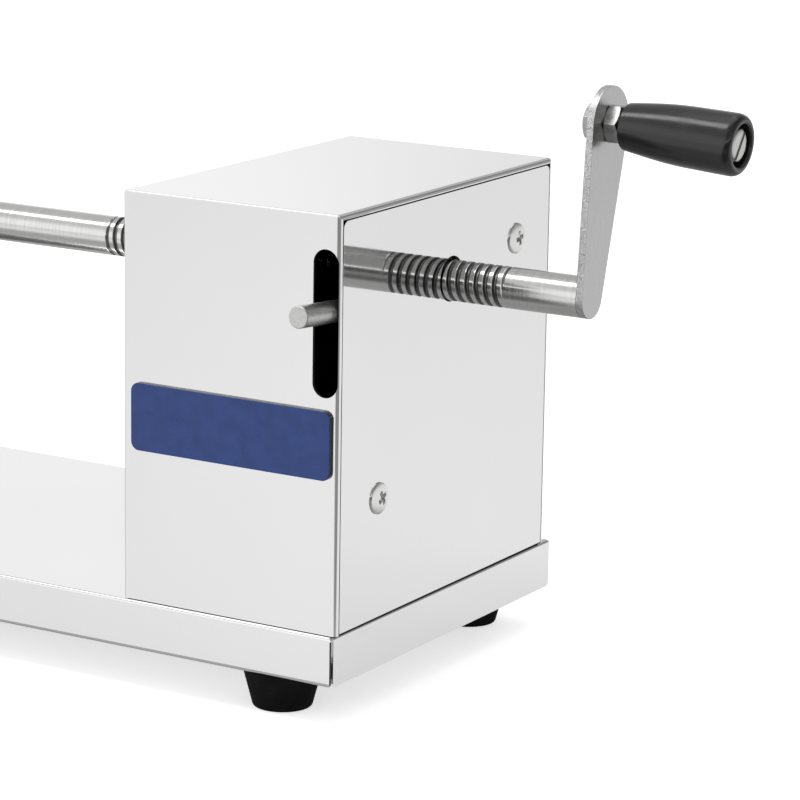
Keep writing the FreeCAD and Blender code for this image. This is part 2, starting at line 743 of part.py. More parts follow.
def build_spring():
    """Close-wound tension spring from the post up to the lever, with a ring at each end."""
    outer = cylinder("spring_coil", "spring_r", "42")
    bind(outer, "Placement.Base.z", "10")
    inner = cylinder("spring_hollow", "spring_r - 2 * spring_wire_r", "40")
    bind(inner, "Placement.Base.z", "11")
    coil = doc.addObject("Part::Cut", "spring_tube")
    coil.Base = outer
    coil.Tool = inner
    tail = cylinder("spring_tail", "spring_wire_r", "6.8")
    bind(tail, "Placement.Base.z", "3.8")
    neck = cylinder("spring_neck", "spring_wire_r", "6")
    bind(neck, "Placement.Base.z", "51.5")
    low_ring = spring_ring("spring_low_ring", "screw_r + 0.2", Rotation(Vector(0, 1, 0), 90))
    bind(low_ring, "Placement.Base.x", "-spring_wire_r - 0.1")
    high_ring = spring_ring("spring_high_ring", "2.6", Rotation(Vector(1, 0, 0), 90))
    bind(high_ring, "Placement.Base.y", "spring_wire_r + 0.1")
    bind(high_ring, "Placement.Base.z", "60.8")
    spring = doc.addObject("Part::MultiFuse", "return_spring")
    spring.Label = "return_spring"
    spring.Shapes = [coil, tail, neck, low_ring, high_ring]
    place(spring, "-lever_x", "-post_y", "shaft_z - post_z")
    NODES.append(spring)


def build_panel_screws():
    """The two pan-head screws of the crank-end panel: the lever's pivot and the spring's post."""
    spots = {
        "pivot_screw": ("pivot_y", "shaft_z + pivot_z"),
        "spring_post": ("-post_y", "shaft_z - post_z"),
    }
    for label, (y, z) in spots.items():
        screw = body(label)
        revolve(
            screw,
            [
                ("-16", "0"),
                ("screw_head", "0"),
                ("screw_head", "screw_head_r - 1.8"),
                ("screw_head - 1.4", "screw_head_r"),
                ("0", "screw_head_r"),
                ("0", "screw_r"),
                ("-16", "screw_r"),
            ],
        )
        place(screw, "0", y, z)
    sideways = Rotation(Vector(0, 1, 0), 90)
    thin = hex_nut("jam_nut", "screw_r", "screw_nut_r", "jam_nut_len")
    inner = "-panel - jam_nut_len"
    outer = "-lever_x - lever / 2 - jam_nut_len - 0.1"
    pivot, post = spots["pivot_screw"], spots["spring_post"]
    group("jam_nuts", thin, [(inner, *pivot), (inner, *post), (outer, *post)], sideways)
    lock = hex_nut("lock_nut", "screw_r", "screw_nut_r", "lock_nut_len")
    group("pivot_lock_nut", lock, [("-lever_x - lever / 2 - lock_nut_len - 0.1", *pivot)], sideways)


def build_crank():
    """Crank arm on the shaft's end, the handle bolt with a nut on each side of the arm, and the handle."""
    arm = body("crank_arm")
    outline = sketch(arm, "YZ_Plane")
    two_arc_loop(outline, ("0", "0", "shaft_r"), ("arm_tip_y", "arm_tip_z", "arm_tip_r"))
    pad(arm, outline, "arm")
    hole = sketch(arm, "YZ_Plane", "arm + 1")
    circle(hole, "arm_tip_y", "arm_tip_z", "handle_bolt_hole_r")
    pocket(arm, hole, "arm + 2")
    place(arm, "shaft_end", "0", "shaft_z")

    axis = ("shaft_end + arm", "arm_tip_y", "shaft_z + arm_tip_z")
    bolt = body("handle_bolt")
    seat = "handle_nut_len + 0.8 + handle_len - handle_recess"
    revolve(
        bolt,
        [
            ("-arm - handle_nut_len - 1.5", "0"),
            (f"{seat} + handle_head + 0.2", "0"),
            (f"{seat} + handle_head + 0.2", "handle_head_r - 0.6"),
            (f"{seat} + handle_head - 0.4", "handle_head_r"),
            (f"{seat} + 0.2", "handle_head_r"),
            (f"{seat} + 0.2", "handle_bolt_r"),
            ("-arm - handle_nut_len - 1.5", "handle_bolt_r"),
        ],
    )
    slot = sketch(bolt, "YZ_Plane", f"{seat} + handle_head + 1.2")
    rectangle(slot, "-0.7", "0.7", "-8", "8")
    pocket(bolt, slot, "2.2")
    turn(bolt, (0, 1, 0), "handle_tilt")
    place(bolt, *axis)

    nut = hex_nut("handle_nut", "handle_bolt_r", "handle_nut_r", "handle_nut_len")
    sideways = Rotation(Vector(0, 1, 0), 90)
    front = "shaft_end + arm"
    back = "shaft_end - handle_nut_len"
    group("handle_nuts", nut, [(front, *axis[1:]), (back, *axis[1:])], sideways)

    grip = doc.addObject("Part::Feature", "handle_grip")
    grip.Label = "handle_grip"
    start = size("handle_nut_len + 0.8")
    rise = size("handle_r - handle_low_r")
    swell = [(0, 0), (0.3, 0.52), (0.62, 0.87), (1, 1)]
    swell = [Vector(start + a * size("handle_belly"), 0, size("handle_low_r") + b * rise) for a, b in swell]
    curve = Part.BSplineCurve()
    curve.interpolate(swell)
    end = start + size("handle_len")
    rim = Vector(end - 3.2, 0, size("handle_r") - 0.1)
    crown = Vector(end - 0.85, 0, size("handle_r") - 0.95)
    brink = Vector(end, 0, size("handle_r") - 3.2)
    corners = [
        brink,
        Vector(end, 0, size("handle_recess_r")),
        Vector(end - size("handle_recess"), 0, size("handle_recess_r")),
        Vector(end - size("handle_recess"), 0, size("handle_bore_r")),
        Vector(start, 0, size("handle_bore_r")),
        swell[0],
    ]
    edges = [curve.toShape(), Part.makeLine(swell[-1], rim), Part.Arc(rim, crown, brink).toShape()]
    edges += [Part.makeLine(here, there) for here, there in zip(corners, corners[1:])]
    face = Part.Face(Part.Wire(Part.__sortEdges__(edges)))
    grip.Shape = face.revolve(Vector(0, 0, 0), Vector(1, 0, 0), 360)
    turn(grip, (0, 1, 0), "handle_tilt")
    place(grip, *axis)
    NODES.append(grip)


def build_holder():
    """Potato holder on the shaft's end: hub, disc, prongs and set screw."""
    holder = body("potato_holder")
    revolve(
        holder,
        [
            ("0", "shaft_r"),
            ("0", "holder_r"),
            ("holder_disc", "holder_r"),
            ("holder_disc", "holder_hub_r"),
            ("holder_len", "holder_hub_r"),
            ("holder_len", "shaft_r"),
        ],
    )
    turns = [math.radians(45 + 90 * step) for step in range(4)]
    spots = [(f"prong_pcd_r * {math.cos(a):.6f}", f"prong_pcd_r * {math.sin(a):.6f}") for a in turns]
    seats = sketch(holder, "YZ_Plane", "holder_disc + 1")
    for y, z in spots:
        circle(seats, y, z, "prong_r")
    pocket(holder, seats, "holder_disc + 2")
    tapped = sketch(holder, "XY_Plane", "holder_hub_r + 1")
    circle(tapped, "(holder_disc + holder_len) / 2", "0", "bolt_r")
    pocket(holder, tapped, "holder_hub_r + 1")
    place(holder, "-shaft_tip", "0", "shaft_z")

    prong = doc.addObject("Part::Cone", "prong_point")
    bind(prong, "Radius1", "prong_r")
    prong.Radius2 = 0.15
    bind(prong, "Height", "6")
    bind(prong, "Placement.Base.z", "prong_len - 6")
    shank = cylinder("prong_shank", "prong_r", "prong_len + holder_disc - 6")
    bind(shank, "Placement.Base.z", "-holder_disc")
    whole = doc.addObject("Part::Fuse", "prong")
    whole.Base = shank
    whole.Tool = prong
    doc.recompute()
    seats = [("-shaft_tip", y, f"shaft_z + {z}") for y, z in spots]
    group("holder_prongs", whole, seats, Rotation(Vector(0, 1, 0), -90))

    screw = doc.addObject("Part::Cylinder", "holder_set_screw")
    screw.Label = "holder_set_screw"
    bind(screw, "Radius", "bolt_r")
    bind(screw, "Height", "holder_hub_r - shaft_r - 0.4")
    place(screw, "(holder_disc + holder_len) / 2 - shaft_tip", "0", "shaft_z + shaft_r + 0.1")
    NODES.append(screw)


def build_stand():
    """Upright stand with the round mouth, the blade in front of it and the skewer's guide tube."""
    stand = body("blade_stand")
    plate = sketch(stand, "YZ_Plane", "-stand_x - stand")
    rectangle(plate, "-stand_half", "stand_half", "0", "stand_height")
    pad(stand, plate, "stand")
    round_edges(stand, "stand_corner", lambda b: near(b.XLength, "stand") and near(b.ZMin, "stand_height"))
    foot = sketch(stand, "XY_Plane")
    rectangle(foot, "-stand_x - stand_foot", "-stand_x", "-stand_half", "stand_half")
    pad(stand, foot, "stand")
    mouth = sketch(stand, "YZ_Plane", "1 - stand_x")
    circle(mouth, "0", "shaft_z", "mouth_r")
    for y in ("2.5", "9.5"):
        circle(mouth, y, "shaft_z + blade_screw_z", "blade_screw_r + 0.15")
    pocket(stand, mouth, "stand + 2")
    holes = sketch(stand, "XY_Plane", "stand + 1")
    for x, y in STAND_BOLTS:
        circle(holes, x, y, "bolt_hole_r")
    pocket(stand, holes, "stand + 2")
    place(stand)

    spacer = body("blade_spacer")
    block = sketch(spacer, "YZ_Plane")
    rectangle(block, "-1", "blade_back", "37", "blade_top")
    for y in ("2.5", "9.5"):
        circle(block, y, "blade_screw_z", "blade_screw_r + 0.15")
    pad(spacer, block, "blade_lead")
    place(spacer, "-stand_x", "0", "shaft_z")

    blade = body("cutter_blade")
    section = sketch(blade, "XY_Plane")
    polygon(
        section,
        [
            ("0", "0.8"),
            ("0", "blade_back"),
            ("blade", "blade_back"),
            ("blade", "-blade_edge"),
            ("blade - 0.15", "-blade_edge"),
        ],
    )
    pad(blade, section, "blade_top")
    eye = sketch(blade, "YZ_Plane", "blade + 1")
    circle(eye, "0", "0", "guide_r")
    for y in ("2.5", "9.5"):
        circle(eye, y, "blade_screw_z", "blade_screw_r + 0.15")
    pocket(blade, eye, "blade + 2")
    heel = sketch(blade, "XY_Plane", "guide_r - 1")
    rectangle(heel, "-1", "blade + 1", "guide_r - 0.5", "blade_back + 1")
    pocket(blade, heel, "guide_r")
    place(blade, "blade_lead - stand_x", "0", "shaft_z")

    guide = body("skewer_guide")
    revolve(
        guide,
        [
            ("-guide_len", "guide_bore_r"),
            ("-guide_len", "guide_r"),
            ("0", "guide_r"),
            ("0", "guide_bore_r"),
        ],
    )
    place(guide, "blade_lead + blade - stand_x", "0", "shaft_z")

    bolt = hex_bolt("blade_bolt", "blade_screw_r", "blade_lead + blade + stand + 4.2", "3.9", "2.8")
    nut = hex_nut("blade_nut", "blade_screw_r", "3.9", "3.2")
    spots = [(y, "shaft_z + blade_screw_z") for y in ("2.5", "9.5")]
    backwards = Rotation(Vector(0, 1, 0), -90)
    group("blade_bolts", bolt, [("blade_lead + blade - stand_x", *spot) for spot in spots], backwards)
    group("blade_nuts", nut, [("-stand_x - stand", *spot) for spot in spots], backwards)


def check_and_write():
    """Stops on any failed object or bad shape, then writes one file per piece."""
    doc.recompute()
    failed = [o.Label for o in doc.Objects if "Invalid" in o.State or "Error" in o.State]
    if failed:
        raise RuntimeError(f"failed objects: {failed}")
    for piece in NODES:
        if piece.Shape.isNull() or not piece.Shape.isValid():
            raise RuntimeError(f"bad shape: {piece.Label}")
    os.makedirs("parts", exist_ok=True)
    for piece in NODES:
        piece.Shape.exportStep(f"parts/{piece.Label}.step")
    whole = Part.makeCompound([piece.Shape for piece in NODES]).BoundBox
    print(len(NODES), "pieces, box", [round(v, 2) for v in (whole.XMin, whole.YMin, whole.ZMin)],
          [round(v, 2) for v in (whole.XMax, whole.YMax, whole.ZMax)])


build_base()
build_feet()
build_cover()
build_end_panel("end_panel_crank", "0", "-panel_tab", "0", CRANK_PANEL_BOLTS, "panel_hole_r")
build_end_panel(
    "end_panel_blade", "panel - box_len", "-box_len", "panel_tab - box_len", BLADE_PANEL_BOLTS, "seat_r"
)
build_bracket()
build_base_bolts()
build_bushes()
build_shaft()
build_half_nut()
build_lever()
build_spring()
build_panel_screws()
build_crank()
build_holder()
build_stand()
check_and_write()
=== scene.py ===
"""Looks of the hand-cranked spiral potato cutter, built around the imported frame.

Polished folded base and housing, turned feed shaft with its groove, crank with a black handle, potato
holder and blade stand. Sizes are written in millimetres from the machine datum: x from the housing's
crank-end face, y from the shaft's vertical plane, z from the top of the base.
"""
import math

import bmesh
import bpy
from mathutils import Matrix, Vector


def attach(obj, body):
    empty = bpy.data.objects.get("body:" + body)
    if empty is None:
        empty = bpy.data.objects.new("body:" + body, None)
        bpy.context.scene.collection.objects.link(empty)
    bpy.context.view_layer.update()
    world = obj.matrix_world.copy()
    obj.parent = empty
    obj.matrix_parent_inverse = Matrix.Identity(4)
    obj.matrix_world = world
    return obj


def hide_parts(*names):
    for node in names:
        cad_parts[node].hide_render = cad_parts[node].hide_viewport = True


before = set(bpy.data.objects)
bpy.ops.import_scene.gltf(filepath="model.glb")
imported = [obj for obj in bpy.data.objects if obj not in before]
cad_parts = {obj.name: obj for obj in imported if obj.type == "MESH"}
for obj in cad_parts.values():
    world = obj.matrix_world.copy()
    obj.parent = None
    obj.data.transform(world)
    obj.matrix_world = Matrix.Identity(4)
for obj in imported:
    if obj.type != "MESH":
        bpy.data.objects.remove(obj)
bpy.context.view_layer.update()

DATUM = Vector((0.1675, 0.0075, 0.0353))

# Driving sizes, in millimetres from the datum.
SHEET, PANEL_SHEET, STAND_SHEET = 1.2, 1.5, 3.0
BEND = 1.8
BASE_LEFT, BASE_RIGHT, BASE_NEAR, BASE_FAR, BASE_LOW = -451.0, -1.0, -83.7, 85.1, -19.7
HOUSING_BACK, HOUSING_NEAR, HOUSING_FAR, HOUSING_HIGH = -96.7, -81.85, 79.4, 160.0
SHAFT_Z, SHAFT_RADIUS, SHAFT_TIP = 123.0, 8.0, -258.0
PITCH, THREAD_START, THREAD_END = 4.0, -157.8, 26.0
SLOT_X, SLOT_RADIUS, SLOT_LOW, SLOT_HIGH = -6.0, 5.4, 96.6, 141.6
ARM_BACK, ARM_FRONT = 58.1, 61.1
HANDLE_Y, HANDLE_Z = 11.57, SHAFT_Z + 64.77
HANDLE_START, HANDLE_END = 6.7, 54.4
STAND_FACE, STAND_HIGH, BLADE_FACE = -305.0, 173.0, -300.4

# Places of the panel's screws, as (y, z): their holes, and their heads as the photograph shows them.
PIVOT_HOLE, POST_HOLE = (49.7, 131.5), (-53.1, 47.4)
PIVOT_HEAD, POST_HEAD = (50.4, 131.6), (-52.3, 47.6)

# How closely a face or an edge follows an axis, or lies on a plane, to be picked for it.
ALIGNED = 0.9
ON = 0.1
FINE = 1e-7
SHARP = math.radians(32)

# How bright each part of the studio looks: to the camera, or in the object's reflections.
SKY_FILL, SKY_FRONT, SKY_TOP, SKY_BACK, SKY_RIGHT = 0.6, 1.13, 0.7, 0.6, 0.45
FLOOR_SHOWN, FLOOR_MIRRORED, FLOOR_BACK, FLOOR_RIGHT, FLOOR_BELOW = 0.6, 0.5, 1.02, 0.3, 0.5
FLOOR_GREY, FLOOR_GREY_MIRRORED = 0.93, 0.46
HORIZON, WINDOW = 0.08, 1.6


def mm(length):
    """Millimetres as metres."""
    return length * 0.001


def at(x, y, z):
    """A point in metres from its millimetres off the machine datum."""
    return DATUM + Vector((mm(x), mm(y), mm(z)))


# Camera, floor and light.
CAMERA_PLACE = (668.9, -1163.6, 390.3)
FOCAL_LENGTH = 159.98


def set_camera():
    """The photograph's view: a long lens, a little above the housing, from its crank-end corner."""
    right = Vector((0.8578, 0.5138, 0.0154))
    down = Vector((0.1303, -0.1884, -0.9734))
    forward = Vector((-0.4972, 0.8370, -0.2286))
    turn = Matrix((right, -down, -forward)).transposed()
    lens = bpy.data.cameras.new("view_camera")
    lens.sensor_width = 36.0
    lens.lens = FOCAL_LENGTH
    lens.clip_start = 0.05
    lens.clip_end = 60.0
    camera = bpy.data.objects.new("view_camera", lens)
    spot = Matrix.Translation(at(*CAMERA_PLACE))
    camera.matrix_world = spot @ turn.to_quaternion().to_matrix().to_4x4()
    bpy.context.scene.collection.objects.link(camera)
    bpy.context.scene.camera = camera


def ramp(tree, source, start, end, low, high):
    """A value that goes smoothly from low to high while the source goes from start to end."""
    node = tree.nodes.new("ShaderNodeMapRange")
    node.interpolation_type = "SMOOTHSTEP"
    for socket, value in (("From Min", start), ("From Max", end), ("To Min", low), ("To Max", high)):
        node.inputs[socket].default_value = value
    tree.links.new(source, node.inputs["Value"])
    return node.outputs["Result"]


def combine(tree, operation, first, second):
    """Arithmetic on two sockets, or on a socket and a number."""
    node = tree.nodes.new("ShaderNodeMath")
    node.operation = operation
    for slot, value in enumerate((first, second)):
        if isinstance(value, (int, float)):
            node.inputs[slot].default_value = value
        else:
            tree.links.new(value, node.inputs[slot])
    return node.outputs[0]


def times(tree, first, second):
    """One number by another."""
    return combine(tree, "MULTIPLY", first, second)


def blend(tree, share, first, second):
    """A number between two others, by a share from 0 to 1."""
    kept = times(tree, first, combine(tree, "SUBTRACT", 1.0, share))
    return combine(tree, "ADD", kept, times(tree, second, share))


def place_on(tree, output):
    """The x, y and z of one output of Texture Coordinate."""
    where = tree.nodes.new("ShaderNodeTexCoord")
    split = tree.nodes.new("ShaderNodeSeparateXYZ")
    tree.links.new(where.outputs[output], split.inputs[0])
    return [split.outputs[axis] for axis in "XYZ"]


def lay_floor():
    """A white table top that runs far behind the object and keeps its shadow; it glows evenly for the
    camera, and in reflections it glows with painted light, darker on the right, far off and where
    reflections look steeply down.
    """
    bpy.ops.object.select_all(action="DESELECT")
    bpy.ops.mesh.primitive_plane_add(size=24.0, location=(0, 0, 0))
    floor = bpy.context.object
    floor.name = "studio_floor"
    paint = bpy.data.materials.new("studio_white")
    paint.use_nodes = True
    tree = paint.node_tree
    shader = tree.nodes["Principled BSDF"]
    shader.inputs["Roughness"].default_value = 0.9
    shader.inputs["Specular IOR Level"].default_value = 0.1
    x, y, _ = place_on(tree, "Object")
    path = tree.nodes.new("ShaderNodeLightPath")
    seen, glossy = path.outputs["Is Camera Ray"], path.outputs["Is Glossy Ray"]
    front = ramp(tree, y, -0.16, -0.05, 1.0, 0.0)
    right = times(tree, ramp(tree, x, 0.16, 0.26, 0.0, 1.0), front)
    far = times(tree, ramp(tree, x, 0.4, 0.9, 0.0, 1.0), ramp(tree, y, -1.4, -0.7, 1.0, 0.0))
    mirrored = blend(tree, right, ramp(tree, y, -0.3, 0.3, 1.0, FLOOR_BACK), FLOOR_RIGHT)
    mirrored = blend(tree, far, mirrored, HORIZON)
    slant = tree.nodes.new("ShaderNodeLayerWeight")
    slant.inputs["Blend"].default_value = 0.5
    mirrored = times(tree, mirrored, ramp(tree, slant.outputs["Facing"], 0.48, 0.7, FLOOR_BELOW, 1.0))
    level = blend(tree, glossy, 1.0, mirrored)
    grey = times(tree, level, blend(tree, glossy, FLOOR_GREY, FLOOR_GREY_MIRRORED))
    tree.links.new(grey, shader.inputs["Base Color"])
    glow = times(tree, glossy, times(tree, level, FLOOR_MIRRORED))
    glow = combine(tree, "ADD", times(tree, seen, FLOOR_SHOWN), glow)
    shader.inputs["Emission Color"].default_value = (1, 1, 1, 1)
    tree.links.new(glow, shader.inputs["Emission Strength"])
    floor.data.materials.append(paint)


# Each lamp's place, its two sides in metres and its power; only the strip hangs level.
LAMPS = (
    ("overhead_strip", (-0.38, -0.3, 1.25), 1.1, 0.34, 4.6),
    ("top_softbox", (0.2, 0.5, 1.9), 1.4, 1.4, 4.0),
    ("left_softbox", (-1.6, -1.1, 1.3), 1.1, 1.1, 3.0),
)
LAMP_AIM = Vector((0.05, 0.0, 0.1))


def hang_lights():
    """A white studio, darker above the back and on the right, with a long lamp overhead.

    The left lamp is kept out of the mirrors, or the tops turn white in the view from behind.
    """
    world = bpy.data.worlds.new("studio")
    bpy.context.scene.world = world
    world.use_nodes = True
    tree = world.node_tree
    tree.nodes.clear()
    x, y, z = place_on(tree, "Generated")
    right = ramp(tree, x, 0.05, 0.25, 0.0, 1.0)
    back = times(tree, ramp(tree, z, 0.27, 0.37, 1.0, SKY_BACK), ramp(tree, x, -0.57, -0.45, 1.02, 0.82))
    front = ramp(tree, z, 0.32, 0.6, SKY_FRONT, SKY_TOP)
    window = times(tree, ramp(tree, z, 0.17, 0.22, HORIZON, WINDOW), ramp(tree, z, 0.28, 0.33, 1.0, 0.2))
    front = blend(tree, right, front, window)
    back = times(tree, back, blend(tree, right, 1.0, SKY_RIGHT))
    mirrored = blend(tree, ramp(tree, y, -0.15, 0.12, 0.0, 1.0), front, back)
    path = tree.nodes.new("ShaderNodeLightPath")
    level = blend(tree, path.outputs["Is Glossy Ray"], SKY_FILL, mirrored)
    level = blend(tree, path.outputs["Is Camera Ray"], level, 1.0)
    sky = tree.nodes.new("ShaderNodeBackground")
    sky.inputs["Color"].default_value = (1, 1, 1, 1)
    tree.links.new(level, sky.inputs["Strength"])
    out = tree.nodes.new("ShaderNodeOutputWorld")
    tree.links.new(sky.outputs[0], out.inputs["Surface"])
    for name, place, wide, deep, power in LAMPS:
        lamp = bpy.data.lights.new(name, "AREA")
        lamp.shape = "RECTANGLE"
        lamp.size = wide
        lamp.size_y = deep
        lamp.energy = power
        holder = bpy.data.objects.new(name, lamp)
        holder.location = place
        holder.visible_glossy = name != "left_softbox"
        if name != "overhead_strip":
            aim = LAMP_AIM - Vector(place)
            holder.rotation_euler = aim.to_track_quat("-Z", "Y").to_euler()
        bpy.context.scene.collection.objects.link(holder)
    bpy.context.scene.view_settings.view_transform = "Standard"


# Finishes.
class Finish:
    """One procedural material, built up from patterns on Object coordinates."""

    def __init__(self, name, colour, metallic, roughness):
        self.material = bpy.data.materials.new(name)
        self.material.use_nodes = True
        self.material.diffuse_color = (*colour, 1)
        self.tree = self.material.node_tree
        self.shader = self.tree.nodes["Principled BSDF"]
        self.shader.inputs["Base Color"].default_value = (*colour, 1)
        self.shader.inputs["Metallic"].default_value = metallic
        self.shader.inputs["Roughness"].default_value = roughness
        self.where = self.tree.nodes.new("ShaderNodeTexCoord")
        self.height = None

    def node(self, kind):
        return self.tree.nodes.new("ShaderNode" + kind)

    def link(self, source, target):
        self.tree.links.new(source, target)

    def pattern(self, scale, stretch=(1, 1, 1), detail=3.0):
        """Noise of a given scale (per metre), stretched along the finish's own direction."""
        mapping = self.node("Mapping")
        mapping.inputs["Scale"].default_value = stretch
        self.link(self.where.outputs["Object"], mapping.inputs["Vector"])
        noise = self.node("TexNoise")
        noise.inputs["Scale"].default_value = scale
        noise.inputs["Detail"].default_value = detail
        self.link(mapping.outputs["Vector"], noise.inputs["Vector"])
        return noise.outputs["Fac"]

    def between(self, source, low, high, start=0.3, end=0.7):
        """The pattern's range brought between two values."""
        ranged = self.node("MapRange")
        ranged.inputs["From Min"].default_value = start
        ranged.inputs["From Max"].default_value = end
        ranged.inputs["To Min"].default_value = low
        ranged.inputs["To Max"].default_value = high
        self.link(source, ranged.inputs["Value"])
        return ranged.outputs["Result"]

    def roughen(self, source, low, high):
        self.link(self.between(source, low, high), self.shader.inputs["Roughness"])

    def tint(self, source, dark, light, start=0.3, end=0.7):
        """Colour that drifts between two shades."""
        mix = self.node("Mix")
        mix.data_type = "RGBA"
        share, *_, first, second = (socket for socket in mix.inputs if socket.enabled)
        first.default_value = (*dark, 1)
        second.default_value = (*light, 1)
        self.link(self.between(source, 0.0, 1.0, start, end), share)
        self.link(next(o for o in mix.outputs if o.enabled), self.shader.inputs["Base Color"])

    def relief(self, source, distance, strength=1.0):
        """Raises the surface by a pattern; later ones ride on earlier ones."""
        bump = self.node("Bump")
        bump.inputs["Distance"].default_value = distance
        bump.inputs["Strength"].default_value = strength
        self.link(source, bump.inputs["Height"])
        if self.height is not None:
            self.link(self.height, bump.inputs["Normal"])
        self.height = bump.outputs["Normal"]
        self.link(self.height, self.shader.inputs["Normal"])


def polished_sheet():
    """Mirror-polished stainless with smudges and a very slight waviness, and painted light that makes it
    lighter towards the crank.
    """
    made = Finish("polished_stainless", (0.83, 0.83, 0.83), 1.0, 0.04)
    # Painted light: the sheet's colour gets lighter towards the crank end; the smudges' noise is added to
    # it.
    along = ramp(made.tree, place_on(made.tree, "Object")[0], 0.0, 0.17, 0.0, 0.75)
    painted_light_and_smudges = combine(made.tree, "ADD", along, made.between(made.pattern(9), 0.0, 0.25))
    made.tint(painted_light_and_smudges, (0.785, 0.786, 0.786), (0.86, 0.86, 0.859), 0.0, 1.0)
    made.roughen(made.pattern(38, detail=5), 0.02, 0.06)
    made.relief(made.pattern(7, detail=1), 0.00005)
    return made.material


def satin_sheet():
    """Satin stainless with a straight fine grain."""
    made = Finish("satin_stainless", (0.55, 0.55, 0.55), 1.0, 0.26)
    lines = made.pattern(90, (22, 22, 1.2), detail=6)
    made.tint(lines, (0.49, 0.49, 0.49), (0.56, 0.56, 0.56))
    made.roughen(lines, 0.2, 0.32)
    made.relief(lines, 0.00002)
    return made.material


def cut_edge():
    """Raw laser-cut edge: bright speckle on a striated wall."""
    made = Finish("laser_cut_edge", (0.7, 0.7, 0.7), 1.0, 0.42)
    specks = made.pattern(2700, detail=2)
    made.tint(specks, (0.3, 0.3, 0.3), (0.86, 0.86, 0.86), 0.38, 0.62)
    made.roughen(specks, 0.3, 0.5)
    made.relief(specks, 0.00006)
    return made.material


def turned_bar():
    """Turned and polished bar: fine rings round its axis."""
    made = Finish("turned_stainless", (0.71, 0.71, 0.7), 1.0, 0.2)
    rings = made.pattern(40, (60, 1, 1), detail=6)
    made.tint(rings, (0.65, 0.65, 0.64), (0.77, 0.77, 0.76))
    made.roughen(rings, 0.13, 0.22)
    made.relief(rings, 0.000012)
    return made.material


def cut_groove():
    """Walls and root of the feed groove: rougher than the polished bar, and near black as painted shade in
    the groove.
    """
    made = Finish("turned_groove_painted_shade", (0.14, 0.14, 0.14), 1.0, 0.3)
    rings = made.pattern(60, (40, 1, 1), detail=5)
    made.tint(rings, (0.1, 0.1, 0.1), (0.19, 0.19, 0.19))
    made.roughen(rings, 0.24, 0.36)
    made.relief(rings, 0.00002)
    return made.material


def ground_pin():
    """Release pin, ground and tumbled to a soft grey."""
    made = Finish("ground_pin", (0.62, 0.62, 0.61), 1.0, 0.4)
    specks = made.pattern(900, detail=4)
    made.tint(specks, (0.54, 0.54, 0.53), (0.7, 0.7, 0.69))
    made.roughen(specks, 0.34, 0.5)
    made.relief(specks, 0.00003)
    return made.material


def zinc_plate(name, dark, light, roughness):
    """Zinc plate with a slightly cloudy bloom."""
    made = Finish(name, light, 1.0, roughness)
    cloud = made.pattern(260, detail=4)
    made.tint(cloud, dark, light)
    made.roughen(cloud, roughness, roughness + 0.14)
    made.relief(made.pattern(900, detail=2), 0.00002)
    return made.material


def bearing_bronze(name, dark, light):
    """Turned bronze, lighter where it is worn."""
    made = Finish(name, light, 1.0, 0.3)
    rings = made.pattern(60, (30, 1, 1), detail=5)
    made.tint(rings, dark, light)
    made.roughen(rings, 0.24, 0.4)
    made.relief(rings, 0.00002)
    return made.material


def foot_rubber():
    """Matte black rubber with a fine moulded grain and a dusty bloom."""
    made = Finish("black_rubber", (0.008, 0.008, 0.008), 0.0, 0.8)
    made.shader.inputs["Specular IOR Level"].default_value = 0.08
    grain = made.pattern(1300, detail=3)
    made.tint(made.pattern(90, detail=4), (0.005, 0.005, 0.005), (0.012, 0.012, 0.012))
    made.roughen(grain, 0.7, 0.9)
    made.relief(grain, 0.00006)
    return made.material


def handle_plastic():
    """Glossy black moulded plastic with a faint orange peel."""
    made = Finish("black_plastic", (0.008, 0.008, 0.009), 0.0, 0.2)
    made.shader.inputs["Specular IOR Level"].default_value = 0.66
    made.tint(made.pattern(70, detail=3), (0.006, 0.006, 0.007), (0.012, 0.012, 0.013))
    made.roughen(made.pattern(140, detail=4), 0.17, 0.27)
    made.relief(made.pattern(420, detail=2), 0.00003)
    return made.material


def painted_shade_finish():
    """Painted shade: a near-black finish for the housing's inner side, the base's corner seam and the end
    panels' feet, where little light reaches.
    """
    made = Finish("painted_shade_inside", (0.05, 0.05, 0.05), 0.6, 0.6)
    haze = made.pattern(60, detail=4)
    made.tint(haze, (0.03, 0.03, 0.03), (0.07, 0.07, 0.07))
    made.roughen(haze, 0.5, 0.7)
    made.relief(haze, 0.00002)
    return made.material


def plate_enamel(name, dark, light):
    """Gloss enamel of the blank plate."""
    made = Finish(name, light, 0.0, 0.22)
    made.tint(made.pattern(160, detail=3), dark, light)
    made.roughen(made.pattern(300, detail=3), 0.16, 0.3)
    made.relief(made.pattern(700, detail=2), 0.00002)
    return made.material


# Modelling by hand.
def let_go():
    """Object mode, nothing selected."""
    if bpy.context.mode != "OBJECT":
        bpy.ops.object.mode_set(mode="OBJECT")
    bpy.ops.object.select_all(action="DESELECT")


def open_piece(name):
    """Names the new primitive and opens it for shaping, all of it selected."""
    piece = bpy.context.object
    piece.name = name
    piece.data.name = name
    bpy.ops.object.mode_set(mode="EDIT")
    bpy.ops.mesh.select_mode(type="VERT")
    bpy.ops.mesh.select_all(action="SELECT")
    return piece


def pick(piece, kind, test):
    """Selects the faces or edges whose middle (mm off the datum) and direction pass the test."""
    bpy.ops.mesh.select_mode(type=kind)
    bpy.ops.mesh.select_all(action="DESELECT")
    mesh = bmesh.from_edit_mesh(piece.data)
    if kind == "FACE":
        for face in mesh.faces:
            spot = (face.calc_center_median() - DATUM) * 1000
            if test(spot, face.normal):
                face.select_set(True)
    else:
        for edge in mesh.edges:
            a, b = (vert.co for vert in edge.verts)
            if test(((a + b) / 2 - DATUM) * 1000, (b - a).normalized()):
                edge.select_set(True)
    bmesh.update_edit_mesh(piece.data)


